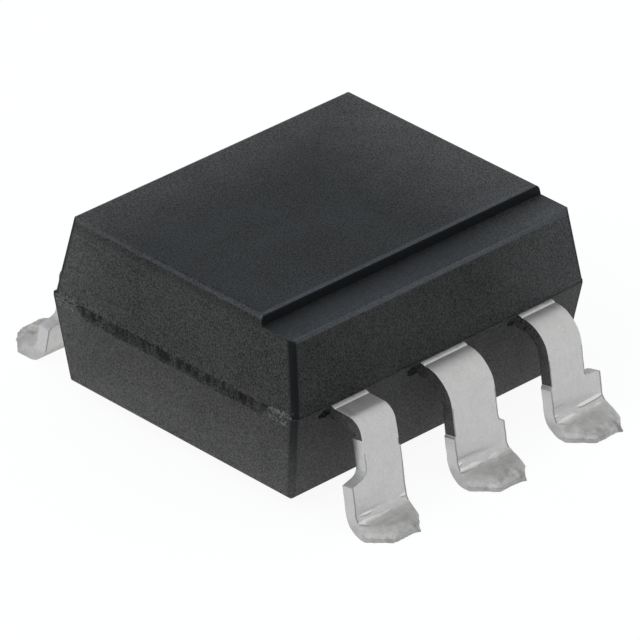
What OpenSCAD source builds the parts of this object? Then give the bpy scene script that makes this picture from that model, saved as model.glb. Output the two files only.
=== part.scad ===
// Optocoupler: six gull-wing leads, an emitter chip facing a detector chip inside a double-moulded body.
// Lengths are in millimetres. X runs along a row of leads, Y from row to row and Z up.
// Z = 0 is the plane the feet stand on. Pins 1 to 3 are on the -Y side, counted from -X to +X.

/* [Body] */
// Length of the body at the parting line
body_l = 7.43; // [7.2:0.01:7.7]
// Width of the body at the parting line
body_w = 6.36; // [6.2:0.01:6.5]
// Height of the body from underside to top
body_h = 3.45; // [3.35:0.01:3.7]
// Height of the lower half, from the underside to the parting line
lower_h = 1.81; // [1.75:0.01:1.9]
// Space between the seating plane and the underside
standoff = 0.35; // [0.2:0.01:0.5]
// Draft of the two end walls above the parting line, in degrees
upper_end_draft = 6.2; // [3:0.1:8]
// Draft of the two lead-side walls above the parting line, in degrees
upper_side_draft = 10.7; // [6:0.1:12]
// Draft of the two end walls below the parting line, in degrees
lower_end_draft = 6.3; // [3:0.1:8]
// Draft of the two lead-side walls below the parting line, in degrees
lower_side_draft = 8.2; // [5:0.1:10]
// How far the lower half stands out past the upper one on both lead sides
lip = 0.02; // [0.01:0.01:0.04]
// How far the lower half stands out past the upper one on the -X end. The +X ends are flush
end_lip = 0.05; // [0.03:0.01:0.07]
// Width of the step along the top edge over pins 1 to 3
ledge_w = 0.8; // [0.6:0.01:1]
// Depth of that step below the top
ledge_d = 0.2; // [0.12:0.01:0.26]
// Rounding of the top edges
edge_r = 0.12; // [0.08:0.01:0.16]
// Rounding of the bottom edges
bottom_r = 0.08; // [0.05:0.01:0.12]
// Cut across each upright corner, measured along either wall
corner_cut = 0.09; // [0.06:0.01:0.14]

/* [Gate scar] */
// Length of the scar where the gate broke off, on the -X end below the parting line
gate_l = 4.9; // [3:0.1:5.2]
// Width of the ledge left between the scar and the upper half
gate_rim = 0.01; // [0.01:0.005:0.02]

/* [Leads] */
// Distance from lead to lead in a row
pitch = 2.54; // [2.5:0.01:2.6]
// Distance across both rows from toe to toe
lead_span = 10.02; // [9.9:0.01:10.3]
// Thickness of the lead strip
lead_t = 0.25; // [0.2:0.01:0.28]
// Depth of a lead's top face below the parting line
lead_cover = 0.02; // [0.01:0.01:0.04]
// Width of the lower part of a lead
lead_w = 1.24; // [1.15:0.01:1.3]
// Width of the shoulder on an end lead, so its neck is this much narrower
end_step = 0.38; // [0.3:0.01:0.46]
// Width of the shoulder on a middle lead
mid_step = 0.14; // [0.08:0.01:0.2]
// From an end lead's pitch line to its straight edge
end_edge = 0.6; // [0.55:0.01:0.64]
// From a middle lead's pitch line to its straight edge
mid_edge = 0.56; // [0.5:0.01:0.6]
// Height of the shoulder where the neck widens
shoulder_z = 1; // [0.9:0.01:1.2]
// Fall of the shoulder from neck to outer edge
shoulder_drop = 0.06; // [0.02:0.01:0.12]
// Rounding in the corner between neck and shoulder
shoulder_r = 0.12; // [0.06:0.01:0.16]
// Inside radius of both bends
bend_r = 0.3; // [0.22:0.01:0.34]
// Outward lean of the riser between the bends, in degrees
lean = 10; // [4:0.5:12]
// Flat length of a lead between the body and its first bend
exit_flat = 0.2; // [0.15:0.01:0.3]
// Width of the trimmed toe
toe_w = 0.5; // [0.4:0.01:0.6]
// Radius of the hole that locks each lead in the black mould
lock_r = 0.16; // [0.1:0.01:0.2]

/* [Light guide] */
// Length of the pale inner mould at the parting line
inner_l = 5.7; // [5.6:0.01:5.9]
// Width of the pale inner mould at the parting line
inner_w = 4.5; // [4.4:0.01:4.7]
// Height of the inner mould above the parting line
inner_up = 1.02; // [0.98:0.01:1.1]
// Depth of the inner mould below the parting line
inner_down = 1.2; // [1.1:0.01:1.25]
// Draft of the inner mould's walls, in degrees
inner_draft = 7; // [4:0.5:9]

/* [Chips and wires] */
// Rise of the emitter paddle above its lead
up_set = 0.64; // [0.58:0.01:0.66]
// Fall of the detector paddle below its lead
down_set = 0.62; // [0.56:0.01:0.66]
// Side of the square emitter chip
led_side = 0.3; // [0.25:0.01:0.36]
// Thickness of the emitter chip
led_t = 0.2; // [0.16:0.01:0.22]
// Side of the square detector chip
detector_side = 0.9; // [0.8:0.01:1]
// Thickness of the detector chip
detector_t = 0.25; // [0.2:0.01:0.28]
// Thickness of the attach layer under either chip
attach_t = 0.03; // [0.02:0.01:0.04]
// Width of a bond wire
wire_w = 0.04; // [0.03:0.01:0.05]
// Height of a bond wire's loop
wire_loop = 0.15; // [0.12:0.01:0.18]
// Radius of the silicone drop where it meets the emitter paddle
coat_r = 0.42; // [0.38:0.01:0.48]
// Depth of the silicone drop
coat_d = 0.36; // [0.34:0.01:0.38]

/* [Hidden] */
$fn = 96;
// Straight steps in the small roundings of the body
arc_steps = 4;
// Length of a cutting shape that passes right through the part
reach = 20;
part_z = standoff + lower_h;
top_z = standoff + body_h;
ledge_z = top_z - ledge_d;
lead_z1 = part_z - lead_cover;
lead_z0 = lead_z1 - lead_t;
// Upper half: half length and half width at the parting line, at the ledge and at the top
upper_l = (body_l - end_lip) / 2;
upper_w = body_w / 2 - lip;
top_l = upper_l - (top_z - part_z) * tan(upper_end_draft);
top_w = upper_w - (top_z - part_z) * tan(upper_side_draft);
ledge_y = upper_w - (ledge_z - part_z) * tan(upper_side_draft);
step_y = ledge_y - ledge_w;
// Lower half: half length and half width at the underside
under_l = body_l / 2 - lower_h * tan(lower_end_draft);
under_w = body_w / 2 - lower_h * tan(lower_side_draft);
// Lead: where the first bend starts, then the length of the riser and of the flat foot
bend_sum = 2 * bend_r + lead_t;
bend_y = body_w / 2 + exit_flat;
riser_h = (lead_z0 - bend_sum * (1 - sin(lean))) / cos(lean);
foot_flat = lead_span / 2 - bend_y - bend_sum * cos(lean) - riser_h * sin(lean);
// Length over which the inside and outside of a lead run together
lead_join = 0.1;
// Inside the body: where the strips ramp up or down
ramp_out = 1.95;
ramp_in = 1.35;
// Half width of the neck behind a paddle, and the length of its tapers
tie_w = 0.4;
tie_taper = 0.15;
// Bond fingers: where they end, their gap to the detector paddle and how far they clear the pitch line
finger_end = 0.35;
finger_gap = 0.4;
finger_trim = 0.09;
// Spare lead: where it ends, the chamfer on its end and the notch beside it
stub_end = 1.6;
stub_chamfer = 0.15;
stub_notch = 0.35;
// Metal that each paddle leaves round its chip
led_margin = 0.45;
detector_margin = 0.2;
led_paddle = led_side + 2 * led_margin;
detector_paddle = detector_side + 2 * detector_margin;
finger_x = detector_paddle / 2 + finger_gap;
finger_out = pitch - finger_trim;
lock_y = (inner_w / 2 + upper_w) / 2;
// Levels of the chip faces
led_seat_z = lead_z0 + up_set;
led_face_z = led_seat_z - attach_t - led_t;
detector_seat_z = lead_z1 - down_set;
detector_face_z = detector_seat_z + attach_t + detector_t;
// Attach layer past the chip's edge
attach_edge = 0.05;
// Ball and stitch at the ends of a bond wire, and how far in from the edges they land
ball_r = 0.05;
ball_h = 0.05;
stitch_l = 0.12;
stitch_in = 0.25;
pad_in_x = 0.16;
pad_in_y = 0.25;
pad_x = finger_x + stitch_in;
pad_y = (ramp_in + finger_end) / 2;
chip_pad_x = detector_side / 2 - pad_in_x;
chip_pad_y = detector_side / 2 - pad_in_y;
// Silicone drop as the cap of a ball
coat_ball_r = (coat_r * coat_r + coat_d * coat_d) / (2 * coat_d);
coat_ball_z = led_seat_z + coat_ball_r - coat_d;

// Points of one corner P between A and B, rounded to radius r
function corner(A, P, B, r) = r == 0 ? [P] :
  let(u = (A - P) / norm(A - P))
  let(v = (B - P) / norm(B - P))
  let(open = acos(u * v))
  let(turned = 180 - open)
  let(c = P + (u + v) / norm(u + v) * r / sin(open / 2))
  let(a = P + u * r / tan(open / 2) - c)
  let(b = P + v * r / tan(open / 2) - c)
  [for (k = [0:arc_steps])
    c + (a * sin(turned * (1 - k / arc_steps)) + b * sin(turned * k / arc_steps)) / sin(turned)];

// Outline p with each corner rounded to its own radius
function rounded(p, r) = [for (i = [0:len(p) - 1])
  each corner(p[(i + len(p) - 1) % len(p)], p[i], p[(i + 1) % len(p)], r[i])];

// Puts a drawing of Y and Z across the part, from side to side along X
module along_x(length) {
  rotate([90, 0, 90])
    linear_extrude(length, center = true)
      children();
}

// Puts a drawing of X and Z across the part, from side to side along Y
module along_y(length) {
  rotate([90, 0, 0])
    linear_extrude(length, center = true)
      children();
}

// Upper half of the body, with the step over pins 1 to 3
module upper_half() {
  low_u = (upper_l + upper_w - corner_cut) / sqrt(2);
  high_u = (top_l + top_w - corner_cut) / sqrt(2);
  intersection() {
    along_y(reach)
      polygon(rounded(
        [[-upper_l, part_z], [upper_l, part_z], [top_l, top_z], [-top_l, top_z]],
        [0, 0, edge_r, edge_r]));
    along_x(reach)
      polygon(rounded(
        [[-upper_w, part_z], [upper_w, part_z], [top_w, top_z], [-step_y, top_z],
          [-step_y - ledge_d * tan(upper_side_draft), ledge_z], [-ledge_y, ledge_z]],
        [0, 0, edge_r, edge_r / 2, 0, edge_r]));
    rotate([0, 0, 45])
      along_y(reach)
        polygon([[-low_u, part_z], [low_u, part_z], [high_u, top_z], [-high_u, top_z]]);
    rotate([0, 0, -45])
      along_y(reach)
        polygon([[-low_u, part_z], [low_u, part_z], [high_u, top_z], [-high_u, top_z]]);
  }
}

// Lower half of the body
module lower_half() {
  low_u = (under_l + under_w - corner_cut) / sqrt(2);
  high_u = (body_l / 2 + body_w / 2 - corner_cut) / sqrt(2);
  intersection() {
    along_y(reach)
      polygon(rounded(
        [[-under_l, standoff], [under_l, standoff], [body_l / 2, part_z], [-body_l / 2, part_z]],
        [bottom_r, bottom_r, 0, 0]));
    along_x(reach)
      polygon(rounded(
        [[-under_w, standoff], [under_w, standoff], [body_w / 2, part_z], [-body_w / 2, part_z]],
        [bottom_r, bottom_r, 0, 0]));
    rotate([0, 0, 45])
      along_y(reach)
        polygon([[-low_u, standoff], [low_u, standoff], [high_u, part_z], [-high_u, part_z]]);
    rotate([0, 0, -45])
      along_y(reach)
        polygon([[-low_u, standoff], [low_u, standoff], [high_u, part_z], [-high_u, part_z]]);
  }
}

// Scar of the gate in the lower half, from the underside of the leads up and following the end wall
module gate_scar() {
  x = end_lip - gate_rim - body_l / 2;
  slope = tan(lower_end_draft);
  along_y(gate_l)
    polygon([[x + (part_z - lead_z0) * slope, lead_z0], [x - lead_t * slope, part_z + lead_t],
      [-reach, part_z + lead_t], [-reach, lead_z0]]);
}

// Inner mould with nothing cut out of it
module inner_block() {
  mid_l = inner_l / 2;
  mid_w = inner_w / 2;
  fall = tan(inner_draft);
  z0 = part_z - inner_down;
  z1 = part_z + inner_up;
  intersection() {
    along_y(reach)
      polygon([[-mid_l + inner_down * fall, z0], [mid_l - inner_down * fall, z0], [mid_l, part_z],
        [mid_l - inner_up * fall, z1], [-mid_l + inner_up * fall, z1], [-mid_l, part_z]]);
    along_x(reach)
      polygon([[-mid_w + inner_down * fall, z0], [mid_w - inner_down * fall, z0], [mid_w, part_z],
        [mid_w - inner_up * fall, z1], [-mid_w + inner_up * fall, z1], [-mid_w, part_z]]);
  }
}

// Lead positions in a row are -1, 0 and 1. The shoulder is on this side of the lead
function shoulder_side(i) = i < 0 ? -1 : 1;
// Width of that shoulder
function step_w(i) = i == 0 ? mid_step : end_step;
// Straight edge, wide edge and neck edge of a lead along X
function straight_x(i) = i * pitch - shoulder_side(i) * (i == 0 ? mid_edge : end_edge);
function wide_x(i) = straight_x(i) + shoulder_side(i) * lead_w;
function neck_x(i) = wide_x(i) - shoulder_side(i) * step_w(i);

// Section of a bend: a ring about the bend's own centre
module bend_ring() {
  difference() {
    circle(bend_r + lead_t);
    circle(bend_r);
  }
}

// Side view of the formed strip outside the body, on the -Y side, drawn from the first bend's centre
module gull_strip() {
  translate([-bend_y, lead_z0 - bend_r]) {
    translate([0, bend_r])
      square([lead_join, lead_t]);
    intersection() {
      translate([-reach, -reach / 2])
        square([reach, reach]);
      rotate(-lean) {
        intersection() {
          bend_ring();
          translate([-reach / 2, 0])
            square([reach, reach]);
        }
        translate([-bend_r - lead_t, -riser_h])
          square([lead_t, riser_h]);
        translate([-bend_sum, -riser_h]) {
          intersection() {
            bend_ring();
            translate([-reach / 2, -reach])
              square([reach, reach]);
            rotate(lean)
              translate([0, -reach / 2])
                square([reach, reach]);
          }
          rotate(lean)
            translate([-foot_flat, -bend_r - lead_t])
              square([foot_flat, lead_t]);
        }
      }
    }
  }
}

// Part of a lead outside the body: the strip, its front outline and its trimmed toe
module lead_outside(i) {
  toe_y = lead_span / 2;
  neck_r = min(shoulder_r, 0.6 * step_w(i));
  intersection() {
    translate([i * pitch, 0, 0])
      along_x(4 * lead_w)
        gull_strip();
    along_y(reach)
      polygon(rounded(
        [[straight_x(i), -reach], [straight_x(i), reach], [neck_x(i), reach],
          [neck_x(i), shoulder_z], [wide_x(i), shoulder_z - shoulder_drop], [wide_x(i), -reach]],
        [0, 0, 0, neck_r, neck_r / 2, 0]));
    translate([i * pitch, 0, -reach / 2])
      linear_extrude(reach)
        polygon([[-toe_w / 2, -toe_y], [toe_w / 2, -toe_y],
          [toe_w / 2 + reach, reach - toe_y], [-toe_w / 2 - reach, reach - toe_y]]);
  }
}

// Side view of the strip inside the body, ramped up or down by set
module inside_strip(set) {
  shift = lead_t * tan(atan(set / (ramp_out - ramp_in)) / 2);
  polygon([[-bend_y, lead_z0], [-ramp_out, lead_z0], [-ramp_in, lead_z0 + set], [inner_w, lead_z0 + set],
    [inner_w, lead_z1 + set], [-ramp_in - shift, lead_z1 + set], [-ramp_out - shift, lead_z1],
    [-bend_y, lead_z1]]);
}

// Hole in a lead that the black mould fills
module lock_hole(i) {
  translate([(straight_x(i) + neck_x(i)) / 2, -lock_y])
    circle(lock_r);
}

// Plan of a lead that ends in a paddle of the given width
module paddle_plan(i, width) {
  difference() {
    polygon([[straight_x(i), -bend_y], [neck_x(i), -bend_y], [neck_x(i), -ramp_out - tie_taper],
      [tie_w, -ramp_out], [tie_w, -ramp_in - tie_taper], [width / 2, -ramp_in], [width / 2, width / 2],
      [-width / 2, width / 2], [-width / 2, -ramp_in], [-tie_w, -ramp_in - tie_taper], [-tie_w, -ramp_out],
      [straight_x(i), -ramp_out - tie_taper]]);
    lock_hole(i);
  }
}

// Plan of an end lead with a bond finger that turns in toward the paddle
module finger_plan(i) {
  difference() {
    polygon([[neck_x(i), -bend_y], [straight_x(i), -bend_y], [straight_x(i), -ramp_in],
      [i * finger_x, -ramp_in], [i * finger_x, -finger_end], [i * finger_out, -finger_end],
      [i * finger_out, -ramp_out], [neck_x(i), -ramp_out - 2 * tie_taper]]);
    lock_hole(i);
  }
}

// Plan of an end lead that stops just inside the inner mould
module stub_plan(i) {
  difference() {
    polygon([[neck_x(i), -bend_y], [straight_x(i), -bend_y], [straight_x(i), -stub_end - stub_chamfer],
      [straight_x(i) + i * stub_chamfer, -stub_end], [neck_x(i) - i * stub_notch, -stub_end],
      [neck_x(i) - i * stub_notch, -stub_end - stub_notch], [neck_x(i), -stub_end - 2 * stub_notch]]);
    lock_hole(i);
  }
}

// Part of a lead inside the body: its side view cut to the plan drawn as the child
module lead_inside(set) {
  intersection() {
    along_x(reach)
      inside_strip(set);
    translate([0, 0, -reach / 2])
      linear_extrude(reach)
        children();
  }
}

module anode_inside() {
  lead_inside(up_set)
    finger_plan(-1);
}

module cathode_inside() {
  lead_inside(up_set)
    paddle_plan(0, led_paddle);
}

module spare_inside() {
  lead_inside(0)
    stub_plan(1);
}

module emitter_inside() {
  rotate([0, 0, 180])
    lead_inside(-down_set)
      finger_plan(-1);
}

module collector_inside() {
  rotate([0, 0, 180])
    lead_inside(-down_set)
      paddle_plan(0, detector_paddle);
}

module base_inside() {
  rotate([0, 0, 180])
    lead_inside(-down_set)
      finger_plan(1);
}

module all_leads_inside() {
  anode_inside();
  cathode_inside();
  spare_inside();
  emitter_inside();
  collector_inside();
  base_inside();
}

// Bond wire from a chip face to a lead face: a ball, a looped wire and a flat stitch
// dir is 1 for a loop above the faces and -1 for a loop below them
module bond_wire(from, to, dir) {
  run = norm([to[0] - from[0], to[1] - from[1]]);
  drop = dir * (to[2] - from[2]);
  steps = 10;
  loop = [for (k = [0:steps]) let(t = k / steps)
    [t * run, ball_h + (drop + wire_w / 2 - ball_h) * t + 4 * wire_loop * t * (1 - t)]];
  over = [for (k = [0:steps]) loop[k] + [0, wire_w / 2]];
  under = [for (k = [0:steps]) loop[steps - k] - [0, wire_w / 2]];
  translate(from)
    mirror([0, 0, dir > 0 ? 0 : 1])
      rotate([0, 0, atan2(to[1] - from[1], to[0] - from[0])]) {
        cylinder(r = ball_r, h = ball_h, $fn = 12);
        along_y(wire_w)
          polygon(concat(over, under));
        translate([run - stitch_l / 3, -wire_w, drop])
          cube([stitch_l, 2 * wire_w, wire_w * 0.75]);
      }
}

// Silicone drop with nothing cut out of it
module coat_cap() {
  difference() {
    translate([0, 0, coat_ball_z])
      sphere(coat_ball_r);
    translate([-reach / 2, -reach / 2, led_seat_z])
      cube(reach);
  }
}

module outer_body() {
  color([0.09, 0.095, 0.1])
    difference() {
      union() {
        translate([end_lip / 2, 0, 0])
          upper_half();
        difference() {
          lower_half();
          gate_scar();
        }
      }
      inner_block();
      all_leads_inside();
    }
}

module inner_mould() {
  color([0.9, 0.89, 0.84])
    difference() {
      inner_block();
      all_leads_inside();
      led_attach();
      detector_attach();
      detector_chip();
      coat_cap();
      led_wire();
      emitter_wire();
      base_wire();
    }
}

module lead_anode() {
  color([0.75, 0.76, 0.77]) {
    anode_inside();
    lead_outside(-1);
  }
}

module lead_cathode() {
  color([0.75, 0.76, 0.77]) {
    cathode_inside();
    lead_outside(0);
  }
}

module lead_spare() {
  color([0.75, 0.76, 0.77]) {
    spare_inside();
    lead_outside(1);
  }
}

module lead_emitter() {
  color([0.75, 0.76, 0.77]) {
    emitter_inside();
    rotate([0, 0, 180])
      lead_outside(-1);
  }
}

module lead_collector() {
  color([0.75, 0.76, 0.77]) {
    collector_inside();
    rotate([0, 0, 180])
      lead_outside(0);
  }
}

module lead_base() {
  color([0.75, 0.76, 0.77]) {
    base_inside();
    rotate([0, 0, 180])
      lead_outside(1);
  }
}

module led_chip() {
  color([0.35, 0.2, 0.25])
    translate([-led_side / 2, -led_side / 2, led_face_z])
      cube([led_side, led_side, led_t]);
}

module led_attach() {
  side = led_side + 2 * attach_edge;
  color([0.6, 0.6, 0.62])
    translate([-side / 2, -side / 2, led_seat_z - attach_t])
      cube([side, side, attach_t]);
}

module led_coating() {
  color([0.85, 0.88, 0.9, 0.4])
    difference() {
      coat_cap();
      led_attach();
      led_chip();
      led_wire();
    }
}

module led_wire() {
  color([0.85, 0.66, 0.25])
    bond_wire([0, 0, led_face_z], [-pad_x, -pad_y, led_seat_z], -1);
}

module detector_chip() {
  color([0.2, 0.22, 0.28])
    translate([-detector_side / 2, -detector_side / 2, detector_seat_z + attach_t])
      cube([detector_side, detector_side, detector_t]);
}

module detector_attach() {
  side = detector_side + 2 * attach_edge;
  color([0.6, 0.6, 0.62])
    translate([-side / 2, -side / 2, detector_seat_z])
      cube([side, side, attach_t]);
}

module emitter_wire() {
  color([0.85, 0.66, 0.25])
    bond_wire([chip_pad_x, chip_pad_y, detector_face_z], [pad_x, pad_y, detector_seat_z], 1);
}

module base_wire() {
  color([0.85, 0.66, 0.25])
    bond_wire([-chip_pad_x, chip_pad_y, detector_face_z], [-pad_x, pad_y, detector_seat_z], 1);
}

outer_body();
inner_mould();
lead_anode();
lead_cathode();
lead_spare();
lead_emitter();
lead_collector();
lead_base();
led_chip();
led_attach();
led_coating();
led_wire();
detector_chip();
detector_attach();
emitter_wire();
base_wire();
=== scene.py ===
import math
from collections import namedtuple

import bmesh
import bpy
from bpy.props import FloatProperty, FloatVectorProperty, IntProperty, PointerProperty
from mathutils import Matrix, Vector, noise


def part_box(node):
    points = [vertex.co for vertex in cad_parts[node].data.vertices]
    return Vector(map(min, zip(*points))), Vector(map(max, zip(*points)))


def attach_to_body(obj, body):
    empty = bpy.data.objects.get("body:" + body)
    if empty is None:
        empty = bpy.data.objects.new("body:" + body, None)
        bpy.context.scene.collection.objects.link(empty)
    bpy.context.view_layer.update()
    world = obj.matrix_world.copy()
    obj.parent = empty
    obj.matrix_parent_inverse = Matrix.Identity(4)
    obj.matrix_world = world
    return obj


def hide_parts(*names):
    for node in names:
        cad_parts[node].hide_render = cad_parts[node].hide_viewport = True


bl_info = {
    "name": "Optocoupler looks",
    "version": (1, 0, 0),
    "blender": (4, 5, 0),
    "location": "3D View > Sidebar > Optocoupler",
    "description": "Dresses the packed optocoupler: moulded body, formed leads, inner pieces and stage",
    "category": "Object",
}

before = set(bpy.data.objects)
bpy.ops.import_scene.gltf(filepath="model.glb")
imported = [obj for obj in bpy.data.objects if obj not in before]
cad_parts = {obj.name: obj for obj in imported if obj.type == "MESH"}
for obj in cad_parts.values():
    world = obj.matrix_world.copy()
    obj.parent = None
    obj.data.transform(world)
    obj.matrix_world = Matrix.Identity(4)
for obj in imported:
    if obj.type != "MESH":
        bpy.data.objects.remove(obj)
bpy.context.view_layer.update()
BODY = "root"
# Scene units are metres. Meshes are made in millimetres and brought to size at the end
MM = 0.001
PHOTO_PIXELS = 640
SENSOR_WIDTH = 36.0
# In CAD meshes, corners nearer than this in millimetres are joined, and faces flatter than this are one
MERGE = 0.0004
FLAT_ANGLE = math.radians(0.5)

# Places that the CAD nodes fix, in millimetres
BODY_LOW, BODY_HIGH = (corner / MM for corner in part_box("outer_body"))
STUB_LOW, STUB_HIGH = (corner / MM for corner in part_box("lead_spare"))
LEAD_TOP = STUB_HIGH.z
TOE_REACH = -STUB_LOW.y

# The forming and trimming tools left each lead a little different. Lengths in millimetres:
# flat beside the body, inside radius of the upper bend, height and rounding of the shoulder,
# how much shorter the toe is, how far it is trimmed off the middle, how far its upper edge is
# rolled down, how far the lead is bent aside, and where the resin film on its sides ends, which also
# paints the body's dark reflection
Lead = namedtuple("Lead", "node row_place far flat bend shoulder fillet short shift rolled aside film")
LEADS = [
    Lead("lead_anode", -1, False, 0.44, 0.1, 0.96, 0.22, 0.16, 0.05, 0.15, 0.03, 1.35),
    Lead("lead_cathode", 0, False, 0.15, 0.39, 0.8, 0.16, 0.1, 0.05, 0.15, 0.05, 0.93),
    Lead("lead_spare", 1, False, 0.16, 0.37, 0.84, 0.06, 0.11, 0.05, 0.15, 0.04, 0.95),
    Lead("lead_emitter", -1, True, 0.3, 0.24, 0.88, 0.12, -0.03, 0.03, 0.06, 0.02, 0.98),
    Lead("lead_collector", 0, True, 0.27, 0.27, 0.85, 0.08, -0.05, 0.05, 0.1, -0.02, 0.94),
    Lead("lead_base", 1, True, 0.38, 0.2, 0.84, 0.14, -0.08, 0.0, 0.0, -0.08, 1.0),
]


def length(name, description, millimetres):
    """A length property, stored in metres."""
    return FloatProperty(
        name=name, description=description, default=millimetres * MM, unit="LENGTH", precision=6
    )


def colour(name, description, value):
    """A colour property."""
    return FloatVectorProperty(
        name=name, description=description, default=value, subtype="COLOR", size=3, min=0.0, max=1.0
    )


def angle(name, description, degrees):
    """An angle property, given in degrees."""
    return FloatProperty(
        name=name, description=description, default=math.radians(degrees), subtype="ANGLE"
    )


class MouldingLook(bpy.types.PropertyGroup):
    """Sizes and colours of the black moulding."""

    parting_z: length("Parting line", "Height of the line between the two mould halves", 2.16)
    end_lip: length("End lip", "How far the lower half stands out on the gate end", 0.05)
    lower_draft: angle("Lower draft", "Draft of the gate end below the parting line", 6.3)
    upper_draft: angle("Upper draft", "Draft of the gate end above the parting line", 6.2)
    scar_length: length("Scar length", "Length of the broken gate along the end", 4.9)
    scar_base: length("Scar base", "Height of the scar's straight lower rim", 1.92)
    scar_depth: length("Scar depth", "Mean depth of the break below the end wall", 0.028)
    scar_rough: length("Scar roughness", "Depth of the grains in the break", 0.025)
    scar_teeth: length("Scar teeth", "Height of the ragged teeth above the parting line", 0.07)
    pit_radius: length("Pit radius", "Radius of the pits beside the lead exits", 0.1)
    ledge_z: length("Ledge", "Height of the ledge along the top", 3.6)
    corner_cut: length("Corner cut", "Cut across each upright corner, along either wall", 0.09)
    # How far the painted dark reflection of the corners fades into the walls
    corner_soft: length("Corner softness", "How far the polish of the corners fades into the walls", 0.1)
    step_brow: length("Step brow", "From the middle of the part to the upper edge of the step", 2.06)
    step_foot: length("Step foot", "From the middle of the part to the foot of the step", 2.126)
    grain_size: length("Grain size", "Size of the mould's fine texture", 0.026)
    mottle_size: length("Mottle size", "Size of the cloudy changes of tone", 1.1)
    dark: colour("Dark tone", "Darker tone of the moulding", (0.001, 0.001, 0.001))
    light: colour("Light tone", "Lighter tone of the walls", (0.063, 0.063, 0.063))
    # Painted sky light: the faces that look up take this bluish tone in place of the walls' tone
    top: colour("Top tone", "Lighter tone of the faces that look up", (0.04, 0.0455, 0.0495))
    # Lighter tone toward the far end and far side, and painted bounce light from the floor on the lower
    # walls
    far_and_bounce: colour("Haze", "Tone where release agent dulls the faces", (0.095, 0.095, 0.095))
    flash: colour("Flash", "Lightest tone of the flash grains", (0.2, 0.2, 0.2))
    # Painted highlight: the rims on top take this lighter bluish tone
    rim: colour("Rim tone", "Tone of the worn rims on top", (0.11, 0.12, 0.131))
    # Painted shade on the step wall and painted dark reflection on the upright corners take this
    # near-black tone
    painted_dark: colour(
        "Polished tone", "Tone of the polished corners and step wall", (0.003, 0.0042, 0.0052)
    )
    # The broken epoxy's dark tone, which also serves as painted shade toward the break's upper rim
    broken: colour("Broken tone", "Darkest tone of the broken gate", (0.004, 0.004, 0.004))
    seed: IntProperty(name="Seed", description="Seed of the break and the flash", default=7)


class LeadLook(bpy.types.PropertyGroup):
    """Sizes and colours of the formed leads."""

    pitch: length("Pitch", "Distance from lead to lead", 2.54)
    strip: length("Strip", "Thickness of the lead strip", 0.25)
    width: length("Width", "Width of the lower part of a lead", 1.24)
    end_step: length("End shoulder", "Width of the shoulder on an end lead", 0.38)
    mid_step: length("Middle shoulder", "Width of the shoulder on a middle lead", 0.14)
    end_edge: length("End edge", "From an end lead's pitch line to its straight edge", 0.6)
    mid_edge: length("Middle edge", "From a middle lead's pitch line to its straight edge", 0.56)
    foot_bend: length("Foot bend", "Inside radius of the lower bend", 0.2)
    lean: angle("Lean", "Outward lean of the riser", 10)
    clamp_mark: length("Clamp mark", "Depth that the forming clamp left beside the body", 0.03)
    burr: length("Burr", "Height of the burr on one corner of the toe", 0.025)
    heel: length("Heel", "How far the heel stands above the toe", 0.04)
    stub: length("Stub", "How far the cut tie bar stands out on the straight edge", 0.035)
    toe: length("Toe", "Width of the trimmed toe", 0.55)
    joint: length("Joint", "From the middle of the part to where the formed strip starts", 2.9)
    edge_round: length("Edge rounding", "Rounding of the sheared edges", 0.03)
    wander: length("Edge wander", "Unevenness of the sheared edges", 0.022)
    dents: length("Dents", "Depth of the forming dents in the lower bend", 0.018)
    cell: length("Cell", "Spacing of the strip's mesh", 0.032)
    tin: colour("Tin", "Colour of the tin plate", (0.57, 0.57, 0.565))
    # Painted highlight: the streaks in the lower bend take this lighter tin tone
    highlit: colour("Rubbed tin", "Tin plate burnished by the forming tool", (0.74, 0.74, 0.735))
    tarnish: colour("Tarnish", "Darker tone of the tin plate", (0.42, 0.42, 0.415))
    # Real stains near the toe; the same tone is also the painted crease shade in the bend and the painted
    # shade on the riser's corners
    stain_and_shade: colour("Stain", "Stains on the tin plate near the toe", (0.26, 0.26, 0.255))


class InnerLook(bpy.types.PropertyGroup):
    """Colours of the pieces sealed inside the body."""

    guide: colour("Light guide", "Pale inner moulding", (0.74, 0.71, 0.62))
    emitter: colour("Emitter", "Emitter chip", (0.16, 0.07, 0.085))
    silicon: colour("Silicon", "Detector chip", (0.035, 0.045, 0.08))
    metal: colour("Pads", "Metal pads on the chips", (0.78, 0.72, 0.58))
    attach: colour("Attach", "Silver-filled attach layer", (0.42, 0.42, 0.43))
    gold: colour("Gold", "Bond wires", (0.86, 0.6, 0.22))


class StageLook(bpy.types.PropertyGroup):
    """Camera, floor and light."""

    azimuth: angle("Azimuth", "Camera's turn about the upright axis", -44.798)
    elevation: angle("Elevation", "Camera's height above the floor", 30.0185)
    roll: angle("Roll", "Camera's turn about its own line of sight", 0.87)
    distance: length("Distance", "From the camera to the aim", 156.25)
    scale: FloatProperty(
        name="Scale", description="Pixels to a millimetre at the aim", default=54.915
    )
    aim_z: length("Aim", "Height of the point that the camera was fitted to", 2.05)
    aim_right: length("Aim right", "Shift of the view to the right", 0.0259)
    aim_down: length("Aim down", "Shift of the view downward", 0.5149)
    floor: colour("Floor", "Floor", (0.86, 0.86, 0.86))
    horizon: colour("Horizon", "Light from the sides", (0.67, 0.67, 0.67))
    zenith: colour("Zenith", "Light from above", (0.44, 0.5, 0.55))
    glow: FloatProperty(name="Glow", description="Brightness of the lit floor", default=1.08)
    fade_start: length("Fade start", "Where the lit floor starts to fade in front of the leads", 5.0)
    fade_end: length("Fade end", "Where the lit floor has faded in front of the leads", 12.0)
    key: FloatProperty(name="Key", description="Power of the softbox", default=0.2, unit="POWER")


LOOKS = {
    "opto_moulding": MouldingLook,
    "opto_leads": LeadLook,
    "opto_inner": InnerLook,
    "opto_stage": StageLook,
}


# Node trees

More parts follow.
